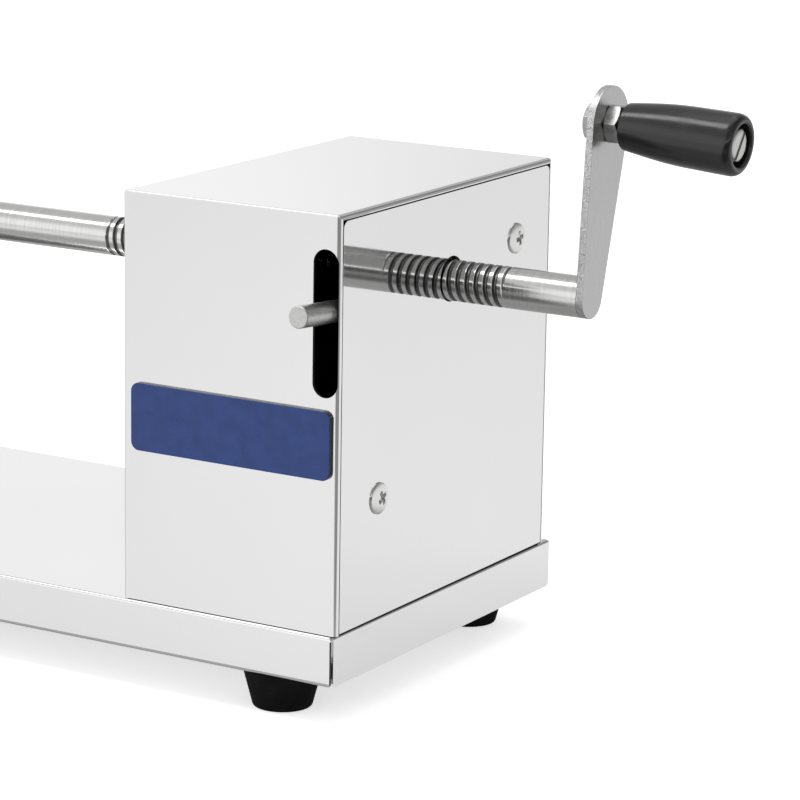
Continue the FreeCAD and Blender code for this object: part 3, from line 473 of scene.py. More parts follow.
def drop_faces(piece, test):
    """Deletes the faces that pass the test."""
    pick(piece, "FACE", test)
    bpy.ops.mesh.delete(type="FACE")


def draw_out(x=0.0, y=0.0, z=0.0):
    """Extrudes what is selected, in millimetres."""
    bpy.ops.mesh.extrude_region_move(TRANSFORM_OT_translate={"value": (mm(x), mm(y), mm(z))})


def bend_edges(piece, radius, test, segments=6):
    """Rounds the edges that pass the test."""
    pick(piece, "EDGE", test)
    bpy.ops.mesh.bevel(offset=mm(radius), segments=segments, affect="EDGES")


def fold_edges(piece, radius, shares):
    """Bends a sheet's edges in one go; each test comes with its share of the radius."""
    layer_name = "bevel_weight_edge"
    mesh = bmesh.from_edit_mesh(piece.data)
    weight = mesh.edges.layers.float.get(layer_name) or mesh.edges.layers.float.new(layer_name)
    for share, test in shares:
        for edge in mesh.edges:
            a, b = (vert.co for vert in edge.verts)
            if test(((a + b) / 2 - DATUM) * 1000, (b - a).normalized()):
                edge[weight] = share
    bmesh.update_edit_mesh(piece.data)
    bpy.ops.object.mode_set(mode="OBJECT")
    bend = piece.modifiers.new("bends", "BEVEL")
    bend.width = mm(radius)
    bend.segments = 6
    bend.limit_method = "WEIGHT"
    apply(piece, bend)
    bpy.ops.object.mode_set(mode="EDIT")


def slice_at(x=None, y=None, z=None):
    """Cuts edges across the whole piece at one plane."""
    spot = at(x or 0, y or 0, z or 0)
    normal = (1, 0, 0) if x is not None else (0, 1, 0) if y is not None else (0, 0, 1)
    bpy.ops.mesh.select_all(action="SELECT")
    bpy.ops.mesh.bisect(plane_co=spot, plane_no=normal, threshold=FINE)


def close_piece():
    """Merges doubles, turns every face outwards and leaves edit mode."""
    bpy.ops.mesh.select_all(action="SELECT")
    bpy.ops.mesh.remove_doubles(threshold=1e-6)
    bpy.ops.mesh.normals_make_consistent(inside=False)
    bpy.ops.object.mode_set(mode="OBJECT")


def apply(piece, modifier):
    """Makes a modifier part of the mesh."""
    let_go()
    piece.select_set(True)
    bpy.context.view_layer.objects.active = piece
    bpy.ops.object.modifier_apply(modifier=modifier.name)


def thicken(piece, thickness):
    """Gives a folded sheet its thickness, inwards."""
    wall = piece.modifiers.new("sheet", "SOLIDIFY")
    wall.thickness = mm(thickness)
    wall.offset = -1
    wall.use_even_offset = True
    apply(piece, wall)


def soften(piece, width, segments=2, angle=35):
    """Breaks the sharp edges."""
    edge = piece.modifiers.new("softened", "BEVEL")
    edge.width = mm(width)
    edge.segments = segments
    edge.limit_method = "ANGLE"
    edge.angle_limit = math.radians(angle)
    apply(piece, edge)


def carve(piece, tool, operation="DIFFERENCE"):
    """Cuts a tool's shape out of the piece, or keeps what both share, and throws the tool away."""
    boolean = piece.modifiers.new("carved", "BOOLEAN")
    boolean.operation = operation
    boolean.solver = "EXACT"
    boolean.object = tool
    apply(piece, boolean)
    bpy.data.objects.remove(tool)


def one_piece(name, pieces):
    """Joins separate forms into one object."""
    let_go()
    for piece in pieces:
        piece.select_set(True)
    bpy.context.view_layer.objects.active = pieces[0]
    if len(pieces) > 1:
        bpy.ops.object.join()
    joined = bpy.context.view_layer.objects.active
    joined.name = name
    joined.data.name = name
    return joined


def settle(piece, place=None, heading=None, roll=0.0):
    """Puts a piece that was made about its own origin along +Z to its place, and applies the move."""
    let_go()
    piece.select_set(True)
    bpy.context.view_layer.objects.active = piece
    if heading is not None:
        track = Vector(heading).to_track_quat("Z", "Y").to_matrix().to_4x4()
        piece.matrix_world = Matrix.Translation(place) @ track @ Matrix.Rotation(math.radians(roll), 4, "Z")
    bpy.ops.object.transform_apply(location=True, rotation=True, scale=True)


def block(name, low, high):
    """A box between two corners, open for shaping."""
    let_go()
    bpy.ops.mesh.primitive_cube_add(size=1, location=(at(*low) + at(*high)) / 2)
    piece = bpy.context.object
    piece.scale = at(*high) - at(*low)
    bpy.ops.object.transform_apply(location=True, rotation=True, scale=True)
    return open_piece(name)


def turned(name, rings, place, heading=(1, 0, 0), sides=64, bored=False):
    """A lathe form: a circle drawn out ring by ring, each (distance, radius), along its axis."""
    let_go()
    start, radius = rings[0]
    bpy.ops.mesh.primitive_circle_add(
        vertices=sides,
        radius=mm(radius),
        fill_type="NOTHING" if bored else "NGON",
        location=(0, 0, mm(start)),
    )
    bpy.ops.object.transform_apply(location=True, rotation=True, scale=True)
    piece = open_piece(name)
    for (here, width), (there, next_width) in zip(rings, rings[1:]):
        draw_out(z=there - here)
        if next_width != width:
            grow = next_width / width
            bpy.ops.transform.resize(value=(grow, grow, 1), center_override=(0, 0, mm(there)))
    close_piece()
    settle(piece, place, heading)
    return piece


def hull_of(name, cylinders, low, high, axis="X", sides=96):
    """A plate from low to high along an axis, its outline tangent to circles of (u, v, radius)."""
    parts = []
    middle = (low + high) / 2
    for u, v, radius in cylinders:
        let_go()
        bpy.ops.mesh.primitive_cylinder_add(
            vertices=sides,
            radius=mm(radius),
            depth=mm(high - low),
            location=at(middle, u, v) if axis == "X" else at(u, middle, v),
            rotation=(0, math.pi / 2, 0) if axis == "X" else (math.pi / 2, 0, 0),
        )
        bpy.ops.object.transform_apply(location=True, rotation=True, scale=True)
        parts.append(bpy.context.object)
    piece = one_piece(name, parts)
    bpy.ops.object.mode_set(mode="EDIT")
    bpy.ops.mesh.select_all(action="SELECT")
    bpy.ops.mesh.convex_hull()
    bpy.ops.mesh.select_all(action="SELECT")
    bpy.ops.mesh.dissolve_limited(angle_limit=math.radians(0.5))
    close_piece()
    return piece


def dress(piece, body, slot, material, *nodes):
    """Smooths the piece, gives it its finish and ties it to the frame."""
    let_go()
    piece.select_set(True)
    bpy.context.view_layer.objects.active = piece
    bpy.ops.object.shade_smooth_by_angle(angle=SHARP)
    true_faces = piece.modifiers.new("true_faces", "WEIGHTED_NORMAL")
    true_faces.keep_sharp = True
    true_faces.weight = 60
    apply(piece, true_faces)
    if not piece.data.materials:
        piece.data.materials.append(material)
    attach(piece, body)
    if nodes:
        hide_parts(*nodes)
    return piece


def line_with(piece, outer, inner, test):
    """Gives the faces that pass the test a second finish."""
    piece.data.materials.append(outer)
    piece.data.materials.append(inner)
    for face in piece.data.polygons:
        spot = (face.center - DATUM) * 1000
        face.material_index = 1 if test(spot, face.normal) else 0


# Folded pieces.
def fold_base():
    """Tray: top, four skirts with open corner seams, return flanges along the long sides."""
    near, far, low, flange = BASE_NEAR, BASE_FAR, BASE_LOW, 30.0
    tray = block("base_tray_folded", (BASE_LEFT, near, low), (BASE_RIGHT, far, 0.0))
    drop_faces(tray, lambda p, n: n.z < -ALIGNED)
    pick(tray, "EDGE", lambda p, d: abs(d.z) > ALIGNED and p.x > BASE_RIGHT - ON and p.y > far - ON)
    bpy.ops.transform.translate(value=(mm(0.8), 0, 0))
    pick(tray, "EDGE", lambda p, d: p.z < low + ON and p.y < near + ON)
    draw_out(y=flange)
    pick(tray, "EDGE", lambda p, d: p.z < low + ON and p.y > far - ON)
    draw_out(y=-flange)
    long = lambda p, d: abs(d.x) > ALIGNED and (p.y < near + ON or p.y > far - ON)
    fold_edges(tray, BEND, (
        (1.0, lambda p, d: (p.z > -ON and abs(d.y) > ALIGNED) or (p.z < low + ON and long(p, d))),
        (0.5, lambda p, d: p.z > -ON and long(p, d)),
    ))
    open_seams(tray)
    close_piece()
    thicken(tray, SHEET)
    soften(tray, 0.12, 2, 60)
    # The near skirt's cut end in the corner seam takes the near-black finish: painted shade in the seam.
    line_with(
        tray,
        POLISHED,
        PAINTED_SHADE,
        lambda p, n: p.x > BASE_RIGHT - 0.7 and p.y < near + SHEET + ON and p.z < -2.0 and n.x > 0.6,
    )
    dress(tray, "frame", "polished_stainless", POLISHED, "base_tray")


def open_seams(tray):
    """Cuts the skirts back at the corners: the end ones at the near side, the long one at the far side."""
    below_bend = lambda p: p.z < -1.85
    across = lambda n: abs(n.x) < 0.5
    cut = BASE_NEAR + 1.9
    slice_at(y=cut)
    drop_faces(tray, lambda p, n: p.y < cut and below_bend(p) and abs(n.x) > ALIGNED)
    seam = BASE_RIGHT - 0.5
    slice_at(x=seam)
    drop_faces(tray, lambda p, n: p.x > seam and p.y < cut and below_bend(p) and across(n))
    for end, outwards in ((BASE_LEFT, -1), (BASE_RIGHT, 1)):
        flange_end, skirt_end = end - outwards * 1.5, end - outwards * 2.4
        slice_at(x=flange_end)
        slice_at(x=skirt_end)
        past_flange = lambda p: (p.x - flange_end) * outwards > 0 and p.z < BASE_LOW + 1.0
        past_skirt = lambda p: (p.x - skirt_end) * outwards > 0 and p.y > 0 and below_bend(p)
        drop_faces(tray, lambda p, n: past_flange(p) and across(n))
        drop_faces(tray, lambda p, n: past_skirt(p) and across(n))


def fold_housing():
    """Near side, top and far side in one sheet, with a rounded lip round both ends and the release slot."""
    near, far, high, back = HOUSING_NEAR, HOUSING_FAR, HOUSING_HIGH, HOUSING_BACK
    lip, foot, foot_end, touch, skin = 2.0, 14.0, 2.5, 0.05, 0.6
    cover = block("housing_folded", (back, near, -2.0), (0.0, far, high))
    drop_faces(cover, lambda p, n: n.z < -ALIGNED)
    pick(cover, "FACE", lambda p, n: abs(n.x) > ALIGNED)
    bpy.ops.mesh.inset(thickness=mm(lip))
    bpy.ops.mesh.delete(type="FACE")
    bpy.ops.mesh.select_all(action="SELECT")
    bpy.ops.mesh.bisect(plane_co=at(0, 0, 0.2), plane_no=(0, 0, 1), clear_inner=True, threshold=FINE)
    bottom = lambda p: p.z < 0.3
    side = lambda p: p.y < near + touch or p.y > far - touch
    rim = lambda p: p.x > -touch or p.x < back + touch
    pick(cover, "EDGE", lambda p, d: bottom(p) and abs(d.x) > ALIGNED and p.y < near + touch)
    draw_out(y=foot)
    pick(cover, "EDGE", lambda p, d: bottom(p) and abs(d.x) > ALIGNED and p.y > far - touch)
    draw_out(y=-foot)
    for end in (-foot_end, back + foot_end):
        slice_at(x=end)
    middle = lambda p: back + foot_end < p.x < -foot_end
    drop_faces(cover, lambda p, n: abs(n.z) > ALIGNED and bottom(p) and not middle(p))
    fold_edges(cover, BEND, (
        (0.4, lambda p, d: p.z > high - touch and side(p) and not rim(p)),
        (1.0, lambda p, d: rim(p) and (p.z > high - touch or (abs(d.z) > ALIGNED and side(p)))),
    ))
    close_piece()
    thicken(cover, SHEET)
    ends = [(SLOT_X, z, SLOT_RADIUS) for z in (SLOT_LOW, SLOT_HIGH)]
    carve(cover, hull_of("slot_tool", ends, near - 5, near + 7, "Y", 64))
    within = lambda p: near + skin < p.y < far - skin and back + skin < p.x < -skin
    # The housing's inner faces take the near-black finish: painted shade inside the housing.
    line_with(cover, POLISHED, PAINTED_SHADE, lambda p, n: within(p) and 1.0 < p.z < high - skin)
    dress(cover, "frame", "polished_stainless", POLISHED, "housing_cover")


def fold_end(name, node, front, inwards, hole, lift, screws):
    """Flat panel inside the lip, with rounded upper corners and its foot bent inwards."""
    low, high = (front - PANEL_SHEET, front) if inwards < 0 else (front, front + PANEL_SHEET)
    bottom = 0.75
    panel = block(name, (low, -79.3, bottom), (high, 77.1, 157.5))
    bend_edges(panel, 3.0, lambda p, d: abs(d.x) > ALIGNED and p.z > 100, 8)
    close_piece()
    tools = [turned("hole_tool", ((-10, hole), (10, hole)), at(front, 0, SHAFT_Z + lift), sides=96)]
    tools += [turned("hole_tool", ((-10, 3.2), (10, 3.2)), at(front, y, z), sides=32) for y, z in screws]
    for tool in tools:
        carve(panel, tool)
    behind = front + inwards * 18
    foot = block("panel_foot", (min(front, behind), -56, bottom), (max(front, behind), 52, 2.0))
    close_piece()
    carve(panel, foot, "UNION")
    soften(panel, 0.15, 2, 50)
    # The panel's inner face and its foot take the near-black finish: painted shade inside and in the gap
    # under the panel's bottom edge.
    foot_face = lambda p, n: p.z < 3 and abs(n.z) > 0.7
    line_with(panel, POLISHED, PAINTED_SHADE, lambda p, n: n.x * inwards > 0.7 or foot_face(p, n))
    dress(panel, "frame", "polished_stainless", POLISHED, node)


def fold_stand():
    """Upright blade stand with its round mouth and its foot bent back."""
    back, foot, mouth = STAND_FACE - STAND_SHEET, 32.0, 36.0
    stand = block("blade_stand_folded", (back, -52, 0), (STAND_FACE, 52, STAND_HIGH))
    pick(stand, "FACE", lambda p, n: n.x < -ALIGNED)
    slice_at(z=STAND_SHEET)
    pick(stand, "FACE", lambda p, n: n.x < -ALIGNED and p.z < STAND_SHEET)
    draw_out(x=-foot)
    bend_edges(stand, 24.0, lambda p, d: abs(d.x) > ALIGNED and p.z > STAND_HIGH - 3, 16)
    heel = lambda p: p.z < ON and p.x > STAND_FACE - ON
    bend_edges(stand, 2.0, lambda p, d: abs(d.y) > ALIGNED and heel(p), 5)
    bend_edges(stand, 5.0, lambda p, d: abs(d.z) > ALIGNED and p.x < back - foot + ON, 6)
    close_piece()
    middle = at(STAND_FACE - STAND_SHEET / 2, 0, SHAFT_Z)
    carve(stand, turned("mouth_tool", ((-10, mouth), (10, mouth)), middle, sides=128))
    soften(stand, 0.3, 2, 50)
    line_with(stand, SATIN, CUT_EDGE, lambda p, n: p.z > 3.4 and abs(n.x) < 0.3)
    dress(stand, "frame", "satin_stainless", SATIN, "blade_stand")


# Turned, moulded and cut pieces.
def turn_shaft():
    """Feed shaft: one turn of the groove's profile wound along the axis, the plain ends drawn out."""
    radius, pitch, first, last = SHAFT_RADIUS, PITCH, THREAD_START, THREAD_END
    groove = ((0.0, 0.0), (0.7, 0.0), (1.6, 0.0), (1.82, 0.05), (2.0, 0.2), (2.22, 0.7), (2.42, 0.92),
              (2.75, 1.0), (3.15, 1.0), (3.48, 0.92), (3.68, 0.7), (3.86, 0.2), (4.0, 0.0))
    turns = int((last - first) / pitch) + 3
    let_go()
    bpy.ops.mesh.primitive_plane_add(size=mm(2))
    bar = open_piece("feed_shaft_turned")
    bpy.ops.mesh.delete(type="ONLY_FACE")
    bpy.ops.mesh.select_all(action="SELECT")
    bpy.ops.mesh.delete(type="VERT")
    line = bmesh.from_edit_mesh(bar.data)
    points = [line.verts.new((mm(radius - depth), 0, mm(along))) for along, depth in groove]
    for here, there in zip(points, points[1:]):
        line.edges.new((here, there))
    bmesh.update_edit_mesh(bar.data)
    bpy.ops.object.mode_set(mode="OBJECT")
    wind = bar.modifiers.new("wound", "SCREW")
    wind.axis = "Z"
    wind.steps = wind.render_steps = 72
    wind.iterations = turns
    wind.screw_offset = mm(pitch)
    wind.use_merge_vertices = True
    wind.merge_threshold = 1e-6
    apply(bar, wind)
    settle(bar, at(first - pitch, 0, SHAFT_Z), (1, 0, 0))
    axis = at(0, 0, SHAFT_Z)
    for vert in bar.data.vertices:
        along = (vert.co.x - DATUM.x) * 1000
        out = Vector((0, vert.co.y - axis.y, vert.co.z - axis.z))
        run_out = min(max((last + 1.0 - along) / 3.4, 0.0), 1.0)
        fade = run_out * min(max((along - first) / 2.0, 0.0), 1.0)
        depth = mm(radius) - out.length
        out *= (mm(radius) - depth * fade) / out.length
        vert.co = Vector((vert.co.x, axis.y + out.y, axis.z + out.z))
    bpy.ops.object.mode_set(mode="EDIT")
    for x, keep_low in ((last + 1.2, True), (first - 0.1, False)):
        bpy.ops.mesh.select_all(action="SELECT")
        bpy.ops.mesh.bisect(
            plane_co=at(x, 0, 0),
            plane_no=(1, 0, 0),
            clear_outer=keep_low,
            clear_inner=not keep_low,
            threshold=FINE,
        )
    pick(bar, "EDGE", lambda p, d: p.x > last + 1.15 and abs(d.x) < 0.01)
    draw_out(x=ARM_BACK - last - 1.2)
    bpy.ops.mesh.edge_face_add()
    pick(bar, "EDGE", lambda p, d: p.x < first - 0.05 and abs(d.x) < 0.01)
    draw_out(x=SHAFT_TIP - first + 0.1 + 0.8)
    centre = at(SHAFT_TIP, 0, SHAFT_Z)
    for x, width in ((-0.8, 7.2 / 8.0), (0.0, 2.75 / 7.2), (40.0, 1.0)):
        draw_out(x=x)
        bpy.ops.transform.resize(value=(1, width, width), center_override=centre)
    bpy.ops.mesh.edge_face_add()
    close_piece()
    # The groove's walls and root take the near-black groove finish: painted shade in the groove.
    line_with(
        bar,
        TURNED,
        GROOVE_PAINTED_SHADE,
        lambda p, n: first < p.x < last + 1 and math.hypot(p.y, p.z - SHAFT_Z) < 7.9,
    )
    dress(bar, "shaft", "turned_stainless", TURNED, "feed_shaft")


def cut_arm():
    """Crank arm: a flat teardrop plate with raw cut edges."""
    eyes = ((0, SHAFT_Z, SHAFT_RADIUS), (HANDLE_Y, HANDLE_Z, 14.4))
    arm = hull_of("crank_arm_plate", eyes, ARM_BACK, ARM_FRONT)
    soften(arm, 0.25, 2, 60)
    line_with(arm, SATIN, CUT_EDGE, lambda p, n: abs(n.x) < 0.6)
    dress(arm, "shaft", "satin_stainless", SATIN, "crank_arm")


HANDLE_FOOT = at(ARM_FRONT, HANDLE_Y, HANDLE_Z)
DROOP = math.radians(3.4)
HANDLE_WAY = (math.cos(DROOP), 0, -math.sin(DROOP))


def mould_handle():
    """Revolving handle: slim at the nut, full towards the end, with a recess for the bolt's head."""
    start, end, belly, rise = HANDLE_START, HANDLE_END, 30.0, 2.55
    swell = ((0.0, 0.0), (0.1, 0.16), (0.2, 0.31), (0.3, 0.455), (0.4, 0.59), (0.5, 0.71), (0.62, 0.83),
             (0.75, 0.92), (0.88, 0.98), (1.0, 1.0))
    bore, recess = 4.07, 4.0
    nose = ((10, 11.75), (3.4, 11.8), (2.3, 11.68), (1.3, 11.35), (0.6, 10.85), (0.2, 10.3), (0, 9.7),
            (0, 8.9), (0.15, 8.45), (0.5, 8.15), (1.0, 8.05), (recess, 8.0), (recess, bore))
    rings = [(start + 0.9, bore), (start, bore), (start, 8.4), (start + 0.25, 8.8)]
    rings += [(start + 0.6 + a * (belly - 0.6), 9.05 + b * rise) for a, b in swell]
    rings += [(end - inset, radius) for inset, radius in nose]
    rings += [(start + 0.9, bore)]
    handle = turned("handle_moulded", rings, HANDLE_FOOT, HANDLE_WAY, sides=72, bored=True)
    dress(handle, "handle", "black_plastic", PLASTIC, "handle_grip")


def turn_handle_bolt():
    """Handle bolt with its slotted head down in the handle's recess."""
    seat = HANDLE_END - 4.0
    head = ((0.2, 4.0), (0.2, 6.0), (0.5, 6.3), (2.2, 6.3), (2.7, 6.0), (3.0, 5.4), (3.1, 4.4))
    rings = [(-10.4, 3.3), (-9.8, 4.0)] + [(seat + rise, radius) for rise, radius in head]
    bolt = turned("handle_bolt_turned", rings, HANDLE_FOOT, HANDLE_WAY, sides=48)
    slot = block("slot_tool", (0, 0, 0), (1, 1, 1))
    close_piece()
    slot.matrix_world = (
        Matrix.Translation(HANDLE_FOOT + Vector(HANDLE_WAY) * mm(seat + 3.3))
        @ Vector(HANDLE_WAY).to_track_quat("Z", "Y").to_matrix().to_4x4()
        @ Matrix.Rotation(math.radians(-32), 4, "Z")
        @ Matrix.Diagonal((1.9, 16, 3.0, 1))
        @ Matrix.Translation(-at(0.5, 0.5, 0.5))
    )
    settle(slot)
    carve(bolt, slot)
    dress(bolt, "shaft", "zinc_plated", ZINC, "handle_bolt")


ORIGIN = Vector((0, 0, 0))
UP, TOWARDS_BLADE = (0, 0, 1), (-1, 0, 0)


def hex_form(name, radius, length, place, heading, roll=0.0, bore=0.0):
    """A hexagon nut or bolt head with the turned chamfer on both faces."""
    let_go()
    middle = (0, 0, mm(length / 2))
    bpy.ops.mesh.primitive_cylinder_add(vertices=6, radius=mm(radius), depth=mm(length), location=middle)
    bpy.ops.object.transform_apply(location=True, rotation=True, scale=True)
    form = open_piece(name)
    close_piece()
    tip, full, slope = radius * 0.866 * 0.97, radius * 1.01, radius * 0.1
    lens = ((-0.01, tip), (slope, full), (length - slope, full), (length + 0.01, tip))
    carve(form, turned("chamfer_tool", lens, ORIGIN, UP, sides=48), "INTERSECT")
    if bore:
        carve(form, turned("bore_tool", ((-1, bore), (length + 1, bore)), ORIGIN, UP, sides=32))
    soften(form, 0.12, 1, 40)
    settle(form, place, heading, roll)
    return form


def fit_handle_nuts():
    """M8 nuts on both sides of the crank arm."""
    nuts = []
    for x, roll in ((ARM_FRONT, 23), (52.2, 8)):
        nuts.append(hex_form("handle_nut", 7.9, 5.9, at(x, HANDLE_Y, HANDLE_Z), (1, 0, 0), roll, 4.0))
    dress(one_piece("handle_nuts_bright", nuts), "shaft", "zinc_plated", ZINC, "handle_nuts")


def turn_pin():
    """Release pin, chamfered at its outer end."""
    tilt = math.radians(4.4)
    rings = ((0, 4.2), (37.5, 4.2), (37.75, 4.13), (37.95, 3.97), (38.06, 3.75))
    outwards = (0, -math.cos(tilt), math.sin(tilt))
    pin = turned("release_pin_turned", rings, at(-6.4, -62, SHAFT_Z - 1.23), outwards, 48)
    dress(pin, "lever", "turned_stainless", PIN, "release_pin")


def turn_panel_screw(name, node, y, z, roll):
    """Pan-head screw with a cross recess, which sits a little off its middle."""
    rings = ((-16, 2.6), (-15.5, 3.0), (0, 3.0), (0, 6.0), (0.15, 6.1), (0.5, 6.15), (0.62, 6.05),
             (0.75, 5.7), (0.92, 5.0), (1.08, 4.0), (1.2, 2.8), (1.25, 1.5))
    screw = turned(name, rings, at(0, y, z), sides=48)
    for arm in (0, 90):
        wing = block("cross_tool", (0, 0, 0), (1, 1, 1))
        pick(wing, "FACE", lambda p, n: n.z < -ALIGNED)
        bpy.ops.transform.resize(value=(0.55, 0.45, 1), center_override=at(0.5, 0.5, 0))
        close_piece()
        wing.matrix_world = (
            Matrix.Translation(at(1.1, y + 1.2, z))
            @ Vector((1, 0, 0)).to_track_quat("Z", "Y").to_matrix().to_4x4()
            @ Matrix.Rotation(math.radians(roll + arm), 4, "Z")
            @ Matrix.Diagonal((2.4, 8.0, 3.0, 1))
            @ Matrix.Translation(-at(0.5, 0.5, 0.5))
        )
        settle(wing)
        carve(screw, wing)
    dress(screw, "frame", "zinc_plated", BRIGHT, node)


FEET = ((-32.4, -67.6), (-29.0, 69.0), (-421.0, -67.6), (-421.0, 69.0))


def mould_feet():
    """Tapered rubber feet with a recess for the screw."""
    nodes = ("foot_near_crank", "foot_far_crank", "foot_near_blade", "foot_far_blade")
    for node, (x, y) in zip(nodes, FEET):
        rings = ((0.0, 2.7), (0.0, 14.9), (0.35, 15.4), (1.0, 15.3), (14.6, 11.75), (15.2, 11.5),
                 (15.5, 11.2), (15.6, 10.8), (15.6, 6.4), (15.2, 5.7), (8.6, 5.6), (8.6, 2.7), (0.0, 2.7))
        foot = turned(node + "_rubber", rings, at(x, y, BASE_LOW), (0, 0, -1), 64, bored=True)
        dress(foot, "frame", "black_rubber", RUBBER, node)


def turn_holder():
    """Potato holder: hub, disc, four prongs and set screw."""
    tip, bore = SHAFT_TIP, SHAFT_RADIUS
    rings = ((0, bore), (0, 21.2), (0.25, 21.75), (0.8, 22.0), (4.3, 22.0), (4.8, 21.8), (5.0, 21.3),
             (5.0, 13.6), (5.3, 13.1), (5.8, 13.0), (16.8, 13.0), (17.6, 12.6), (18.0, 12.0), (18.0, bore),
             (0, bore))
    hub = turned("holder_turned", rings, at(tip, 0, SHAFT_Z), sides=72, bored=True)
    dress(hub, "shaft", "turned_stainless", TURNED, "potato_holder")
    prongs = []
    for step in range(4):
        angle = math.radians(45 + 90 * step)
        spot = at(tip, 15 * math.cos(angle), SHAFT_Z + 15 * math.sin(angle))
        rings = ((-5, 1.6), (9, 1.6), (12.5, 0.85), (14.6, 0.3), (15, 0.12))
        prongs.append(turned("prong", rings, spot, TOWARDS_BLADE, 24))
    ring = one_piece("holder_prongs_ground", prongs)
    dress(ring, "shaft", "turned_stainless", TURNED, "holder_prongs")
    screw = turned(
        "holder_set_screw_socket",
        ((0, 2.3), (0.3, 2.5), (4.3, 2.5), (4.6, 2.2), (4.6, 1.35), (2.6, 1.3)),
        at(tip + 11.5, 0, SHAFT_Z + 8.1),
        UP,
        24,
    )
    dress(screw, "shaft", "zinc_plated", ZINC, "holder_set_screw")


def grind_blade():
    """Cutter blade with a ground edge, its spacer and the skewer's guide tube."""
    z, back = SHAFT_Z, BLADE_FACE - 1.2
    blade = block("cutter_blade_ground", (back, -2, z), (BLADE_FACE, 12, z + 47))
    slice_at(y=0.8)
    pick(blade, "EDGE", lambda p, d: abs(d.z) > ALIGNED and p.y < -1.9 and p.x < back + ON)
    bpy.ops.transform.translate(value=(mm(1.05), 0, 0))
    close_piece()
    carve(blade, turned("eye_tool", ((-5, 4.45), (5, 4.45)), at(-301, 0, z), sides=48))
    heel = block("heel_tool", (-305, 4.0, z - 1), (-298, 14, z + 3.5))
    close_piece()
    carve(blade, heel)
    soften(blade, 0.08, 1, 60)
    dress(blade, "frame", "satin_stainless", SATIN, "cutter_blade")
    spacer = block("blade_spacer_block", (STAND_FACE, -1, z + 37), (back, 12, z + 47))
    close_piece()
    soften(spacer, 0.3)
    dress(spacer, "frame", "satin_stainless", SATIN, "blade_spacer")
    rings = ((0, 3.0), (0, 4.2), (0.3, 4.5), (35.7, 4.5), (36, 4.2), (36, 3.3), (35.7, 3.0), (0, 3.0))
    tube = turned("skewer_guide_tube", rings, at(BLADE_FACE, 0, z), TOWARDS_BLADE, 48, bored=True)
    dress(tube, "frame", "satin_stainless", SATIN, "skewer_guide")


# Where the screws stand up through the base, each with the thickness of what it holds down.
BASE_BOLTS = [(x, y, SHEET) for x in (-22, -73) for y in (-74.85, 70.35)]
BASE_BOLTS += [(x, y, PANEL_SHEET) for x in (-11, -84.5) for y in (-35, 35)]
BASE_BOLTS += [(-42, y, STAND_SHEET) for y in (-20, 20)] + [(-325, y, STAND_SHEET) for y in (-34, 34)]


def copies(name, master, spots):
    """One copy of a master form per place, each with its own mesh, joined as one node's fasteners."""
    made = []
    for spot in spots:
        twin = master.copy()
        twin.data = master.data.copy()
        bpy.context.scene.collection.objects.link(twin)
        twin.matrix_world = Matrix.Translation(Vector(spot))
        settle(twin)
        made.append(twin)
    bpy.data.objects.remove(master)
    return one_piece(name, made)


def hex_screw(head_radius, head, shank_radius, shank, heading):
    """A hexagon screw along its heading, the underside of its head at the origin."""
    top = hex_form("head", head_radius, head, -Vector(heading) * mm(head), heading)
    rings = ((0, shank_radius), (shank - 0.5, shank_radius), (shank, shank_radius - 0.5))
    return one_piece("screw_form", [top, turned("stem", rings, ORIGIN, heading, 20)])


def fit_bolts():
    """Hexagon screws and nuts that hold the folded pieces, the feet and the blade."""
    blade_x, blade_z = STAND_FACE - STAND_SHEET, SHAFT_Z + 42
    base = [at(x, y, -SHEET) for x, y, _ in BASE_BOLTS], [at(*spot) for spot in BASE_BOLTS]
    feet = [at(x, y, -28.3) for x, y in FEET], [at(x, y, BASE_LOW + SHEET) for x, y in FEET]
    blade = [[at(x, y, blade_z) for y in (2.5, 9.5)] for x in (BLADE_FACE, blade_x)]
    sets = (
        ("base", (4.6, 3.5, 2.5, 10, UP), 4.0, *base),
        ("foot", (4.6, 3.5, 2.5, 15, UP), 4.0, *feet),
        ("blade", (3.9, 2.8, 2.0, 11.8, TOWARDS_BLADE), 3.2, *blade),
    )
    for kind, sizes, nut_length, screw_spots, nut_spots in sets:
        across, _, bore, _, heading = sizes
        screws = copies(kind + "_bolts_bright", hex_screw(*sizes), screw_spots)
        dress(screws, "frame", "zinc_plated", ZINC, kind + "_bolts")
        nut = hex_form("nut", across, nut_length, ORIGIN, heading, 0, bore)
        nuts = copies(kind + "_nuts_bright", nut, nut_spots)
        dress(nuts, "frame", "zinc_plated", ZINC, kind + "_nuts")


def fix_plate():
    """Blank raised plate on the near side: enamel field, dark rim."""
    left, right, low, high, face = -92.0, -2.6, 60.0, 86.5, HOUSING_NEAR
    plate = block("blank_plate", (left, face - 1.6, low), (right, face, high))
    bend_edges(plate, 3.5, lambda p, d: abs(d.y) > ALIGNED, 8)
    bend_edges(plate, 0.35, lambda p, d: p.y < face - 1.5, 3)
    pick(plate, "FACE", lambda p, n: n.y < -0.99)
    bpy.ops.mesh.inset(thickness=mm(0.3))
    close_piece()
    line_with(plate, RIM, ENAMEL, lambda p, n: n.y < -0.6)
    dress(plate, "frame", "polished_stainless", RIM)


# The build.
set_camera()
lay_floor()
hang_lights()

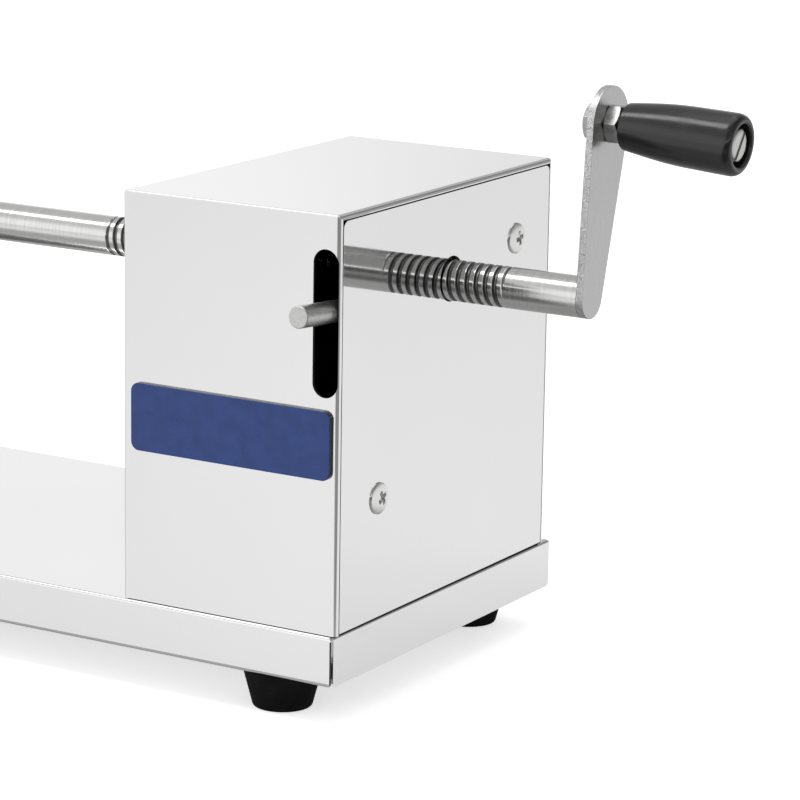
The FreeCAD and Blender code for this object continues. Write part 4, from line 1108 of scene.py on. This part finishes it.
POLISHED = polished_sheet()
SATIN = satin_sheet()
CUT_EDGE = cut_edge()
TURNED = turned_bar()
GROOVE_PAINTED_SHADE = cut_groove()
PIN = ground_pin()
ZINC = zinc_plate("zinc_plated", (0.55, 0.55, 0.54), (0.68, 0.68, 0.67), 0.24)
BRIGHT = zinc_plate("bright_zinc", (0.74, 0.74, 0.73), (0.84, 0.84, 0.83), 0.12)
BRONZE = bearing_bronze("bronze", (0.42, 0.3, 0.16), (0.56, 0.43, 0.24))
# Near-black bronze: painted shade for the bronze parts seen in the dark round the shaft at the crank end.
BRONZE_PAINTED_SHADE = bearing_bronze("bronze_painted_shade", (0.03, 0.025, 0.02), (0.06, 0.05, 0.035))
RUBBER = foot_rubber()
PLASTIC = handle_plastic()
PAINTED_SHADE = painted_shade_finish()
ENAMEL = plate_enamel("plate_blue", (0.01, 0.042, 0.2), (0.015, 0.055, 0.25))
RIM = plate_enamel("plate_rim", (0.02, 0.022, 0.028), (0.04, 0.043, 0.052))

# CAD pieces inside the housing that keep their own meshes.
KEPT = {
    "bearing_bracket": SATIN,
    "rocker_lever": SATIN,
    # The crank-end bushes and the half nut take the near-black bronze: painted shade round the shaft.
    "shaft_bush_crank": BRONZE_PAINTED_SHADE,
    "bush_ring_crank": BRONZE_PAINTED_SHADE,
    "half_nut": BRONZE_PAINTED_SHADE,
    "shaft_bush_blade": BRONZE,
    "bush_ring_blade": BRONZE,
    "return_spring": ZINC,
    "jam_nuts": ZINC,
    "pivot_lock_nut": ZINC,
}

fold_base()
fold_housing()
fold_end("crank_end_panel", "end_panel_crank", 0.0, -1, 8.85, 0.5, (PIVOT_HOLE, POST_HOLE))
fold_end("blade_end_panel", "end_panel_blade", HOUSING_BACK, 1, 11.06, 0.0, ())
fold_stand()
turn_shaft()
cut_arm()
mould_handle()
turn_handle_bolt()
fit_handle_nuts()
turn_pin()
turn_panel_screw("pivot_screw_pan", "pivot_screw", *PIVOT_HEAD, 12)
turn_panel_screw("spring_post_pan", "spring_post", *POST_HEAD, 30)
mould_feet()
turn_holder()
grind_blade()
fit_bolts()
fix_plate()
for node, material in KEPT.items():
    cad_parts[node].data.materials.clear()
    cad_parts[node].data.materials.append(material)
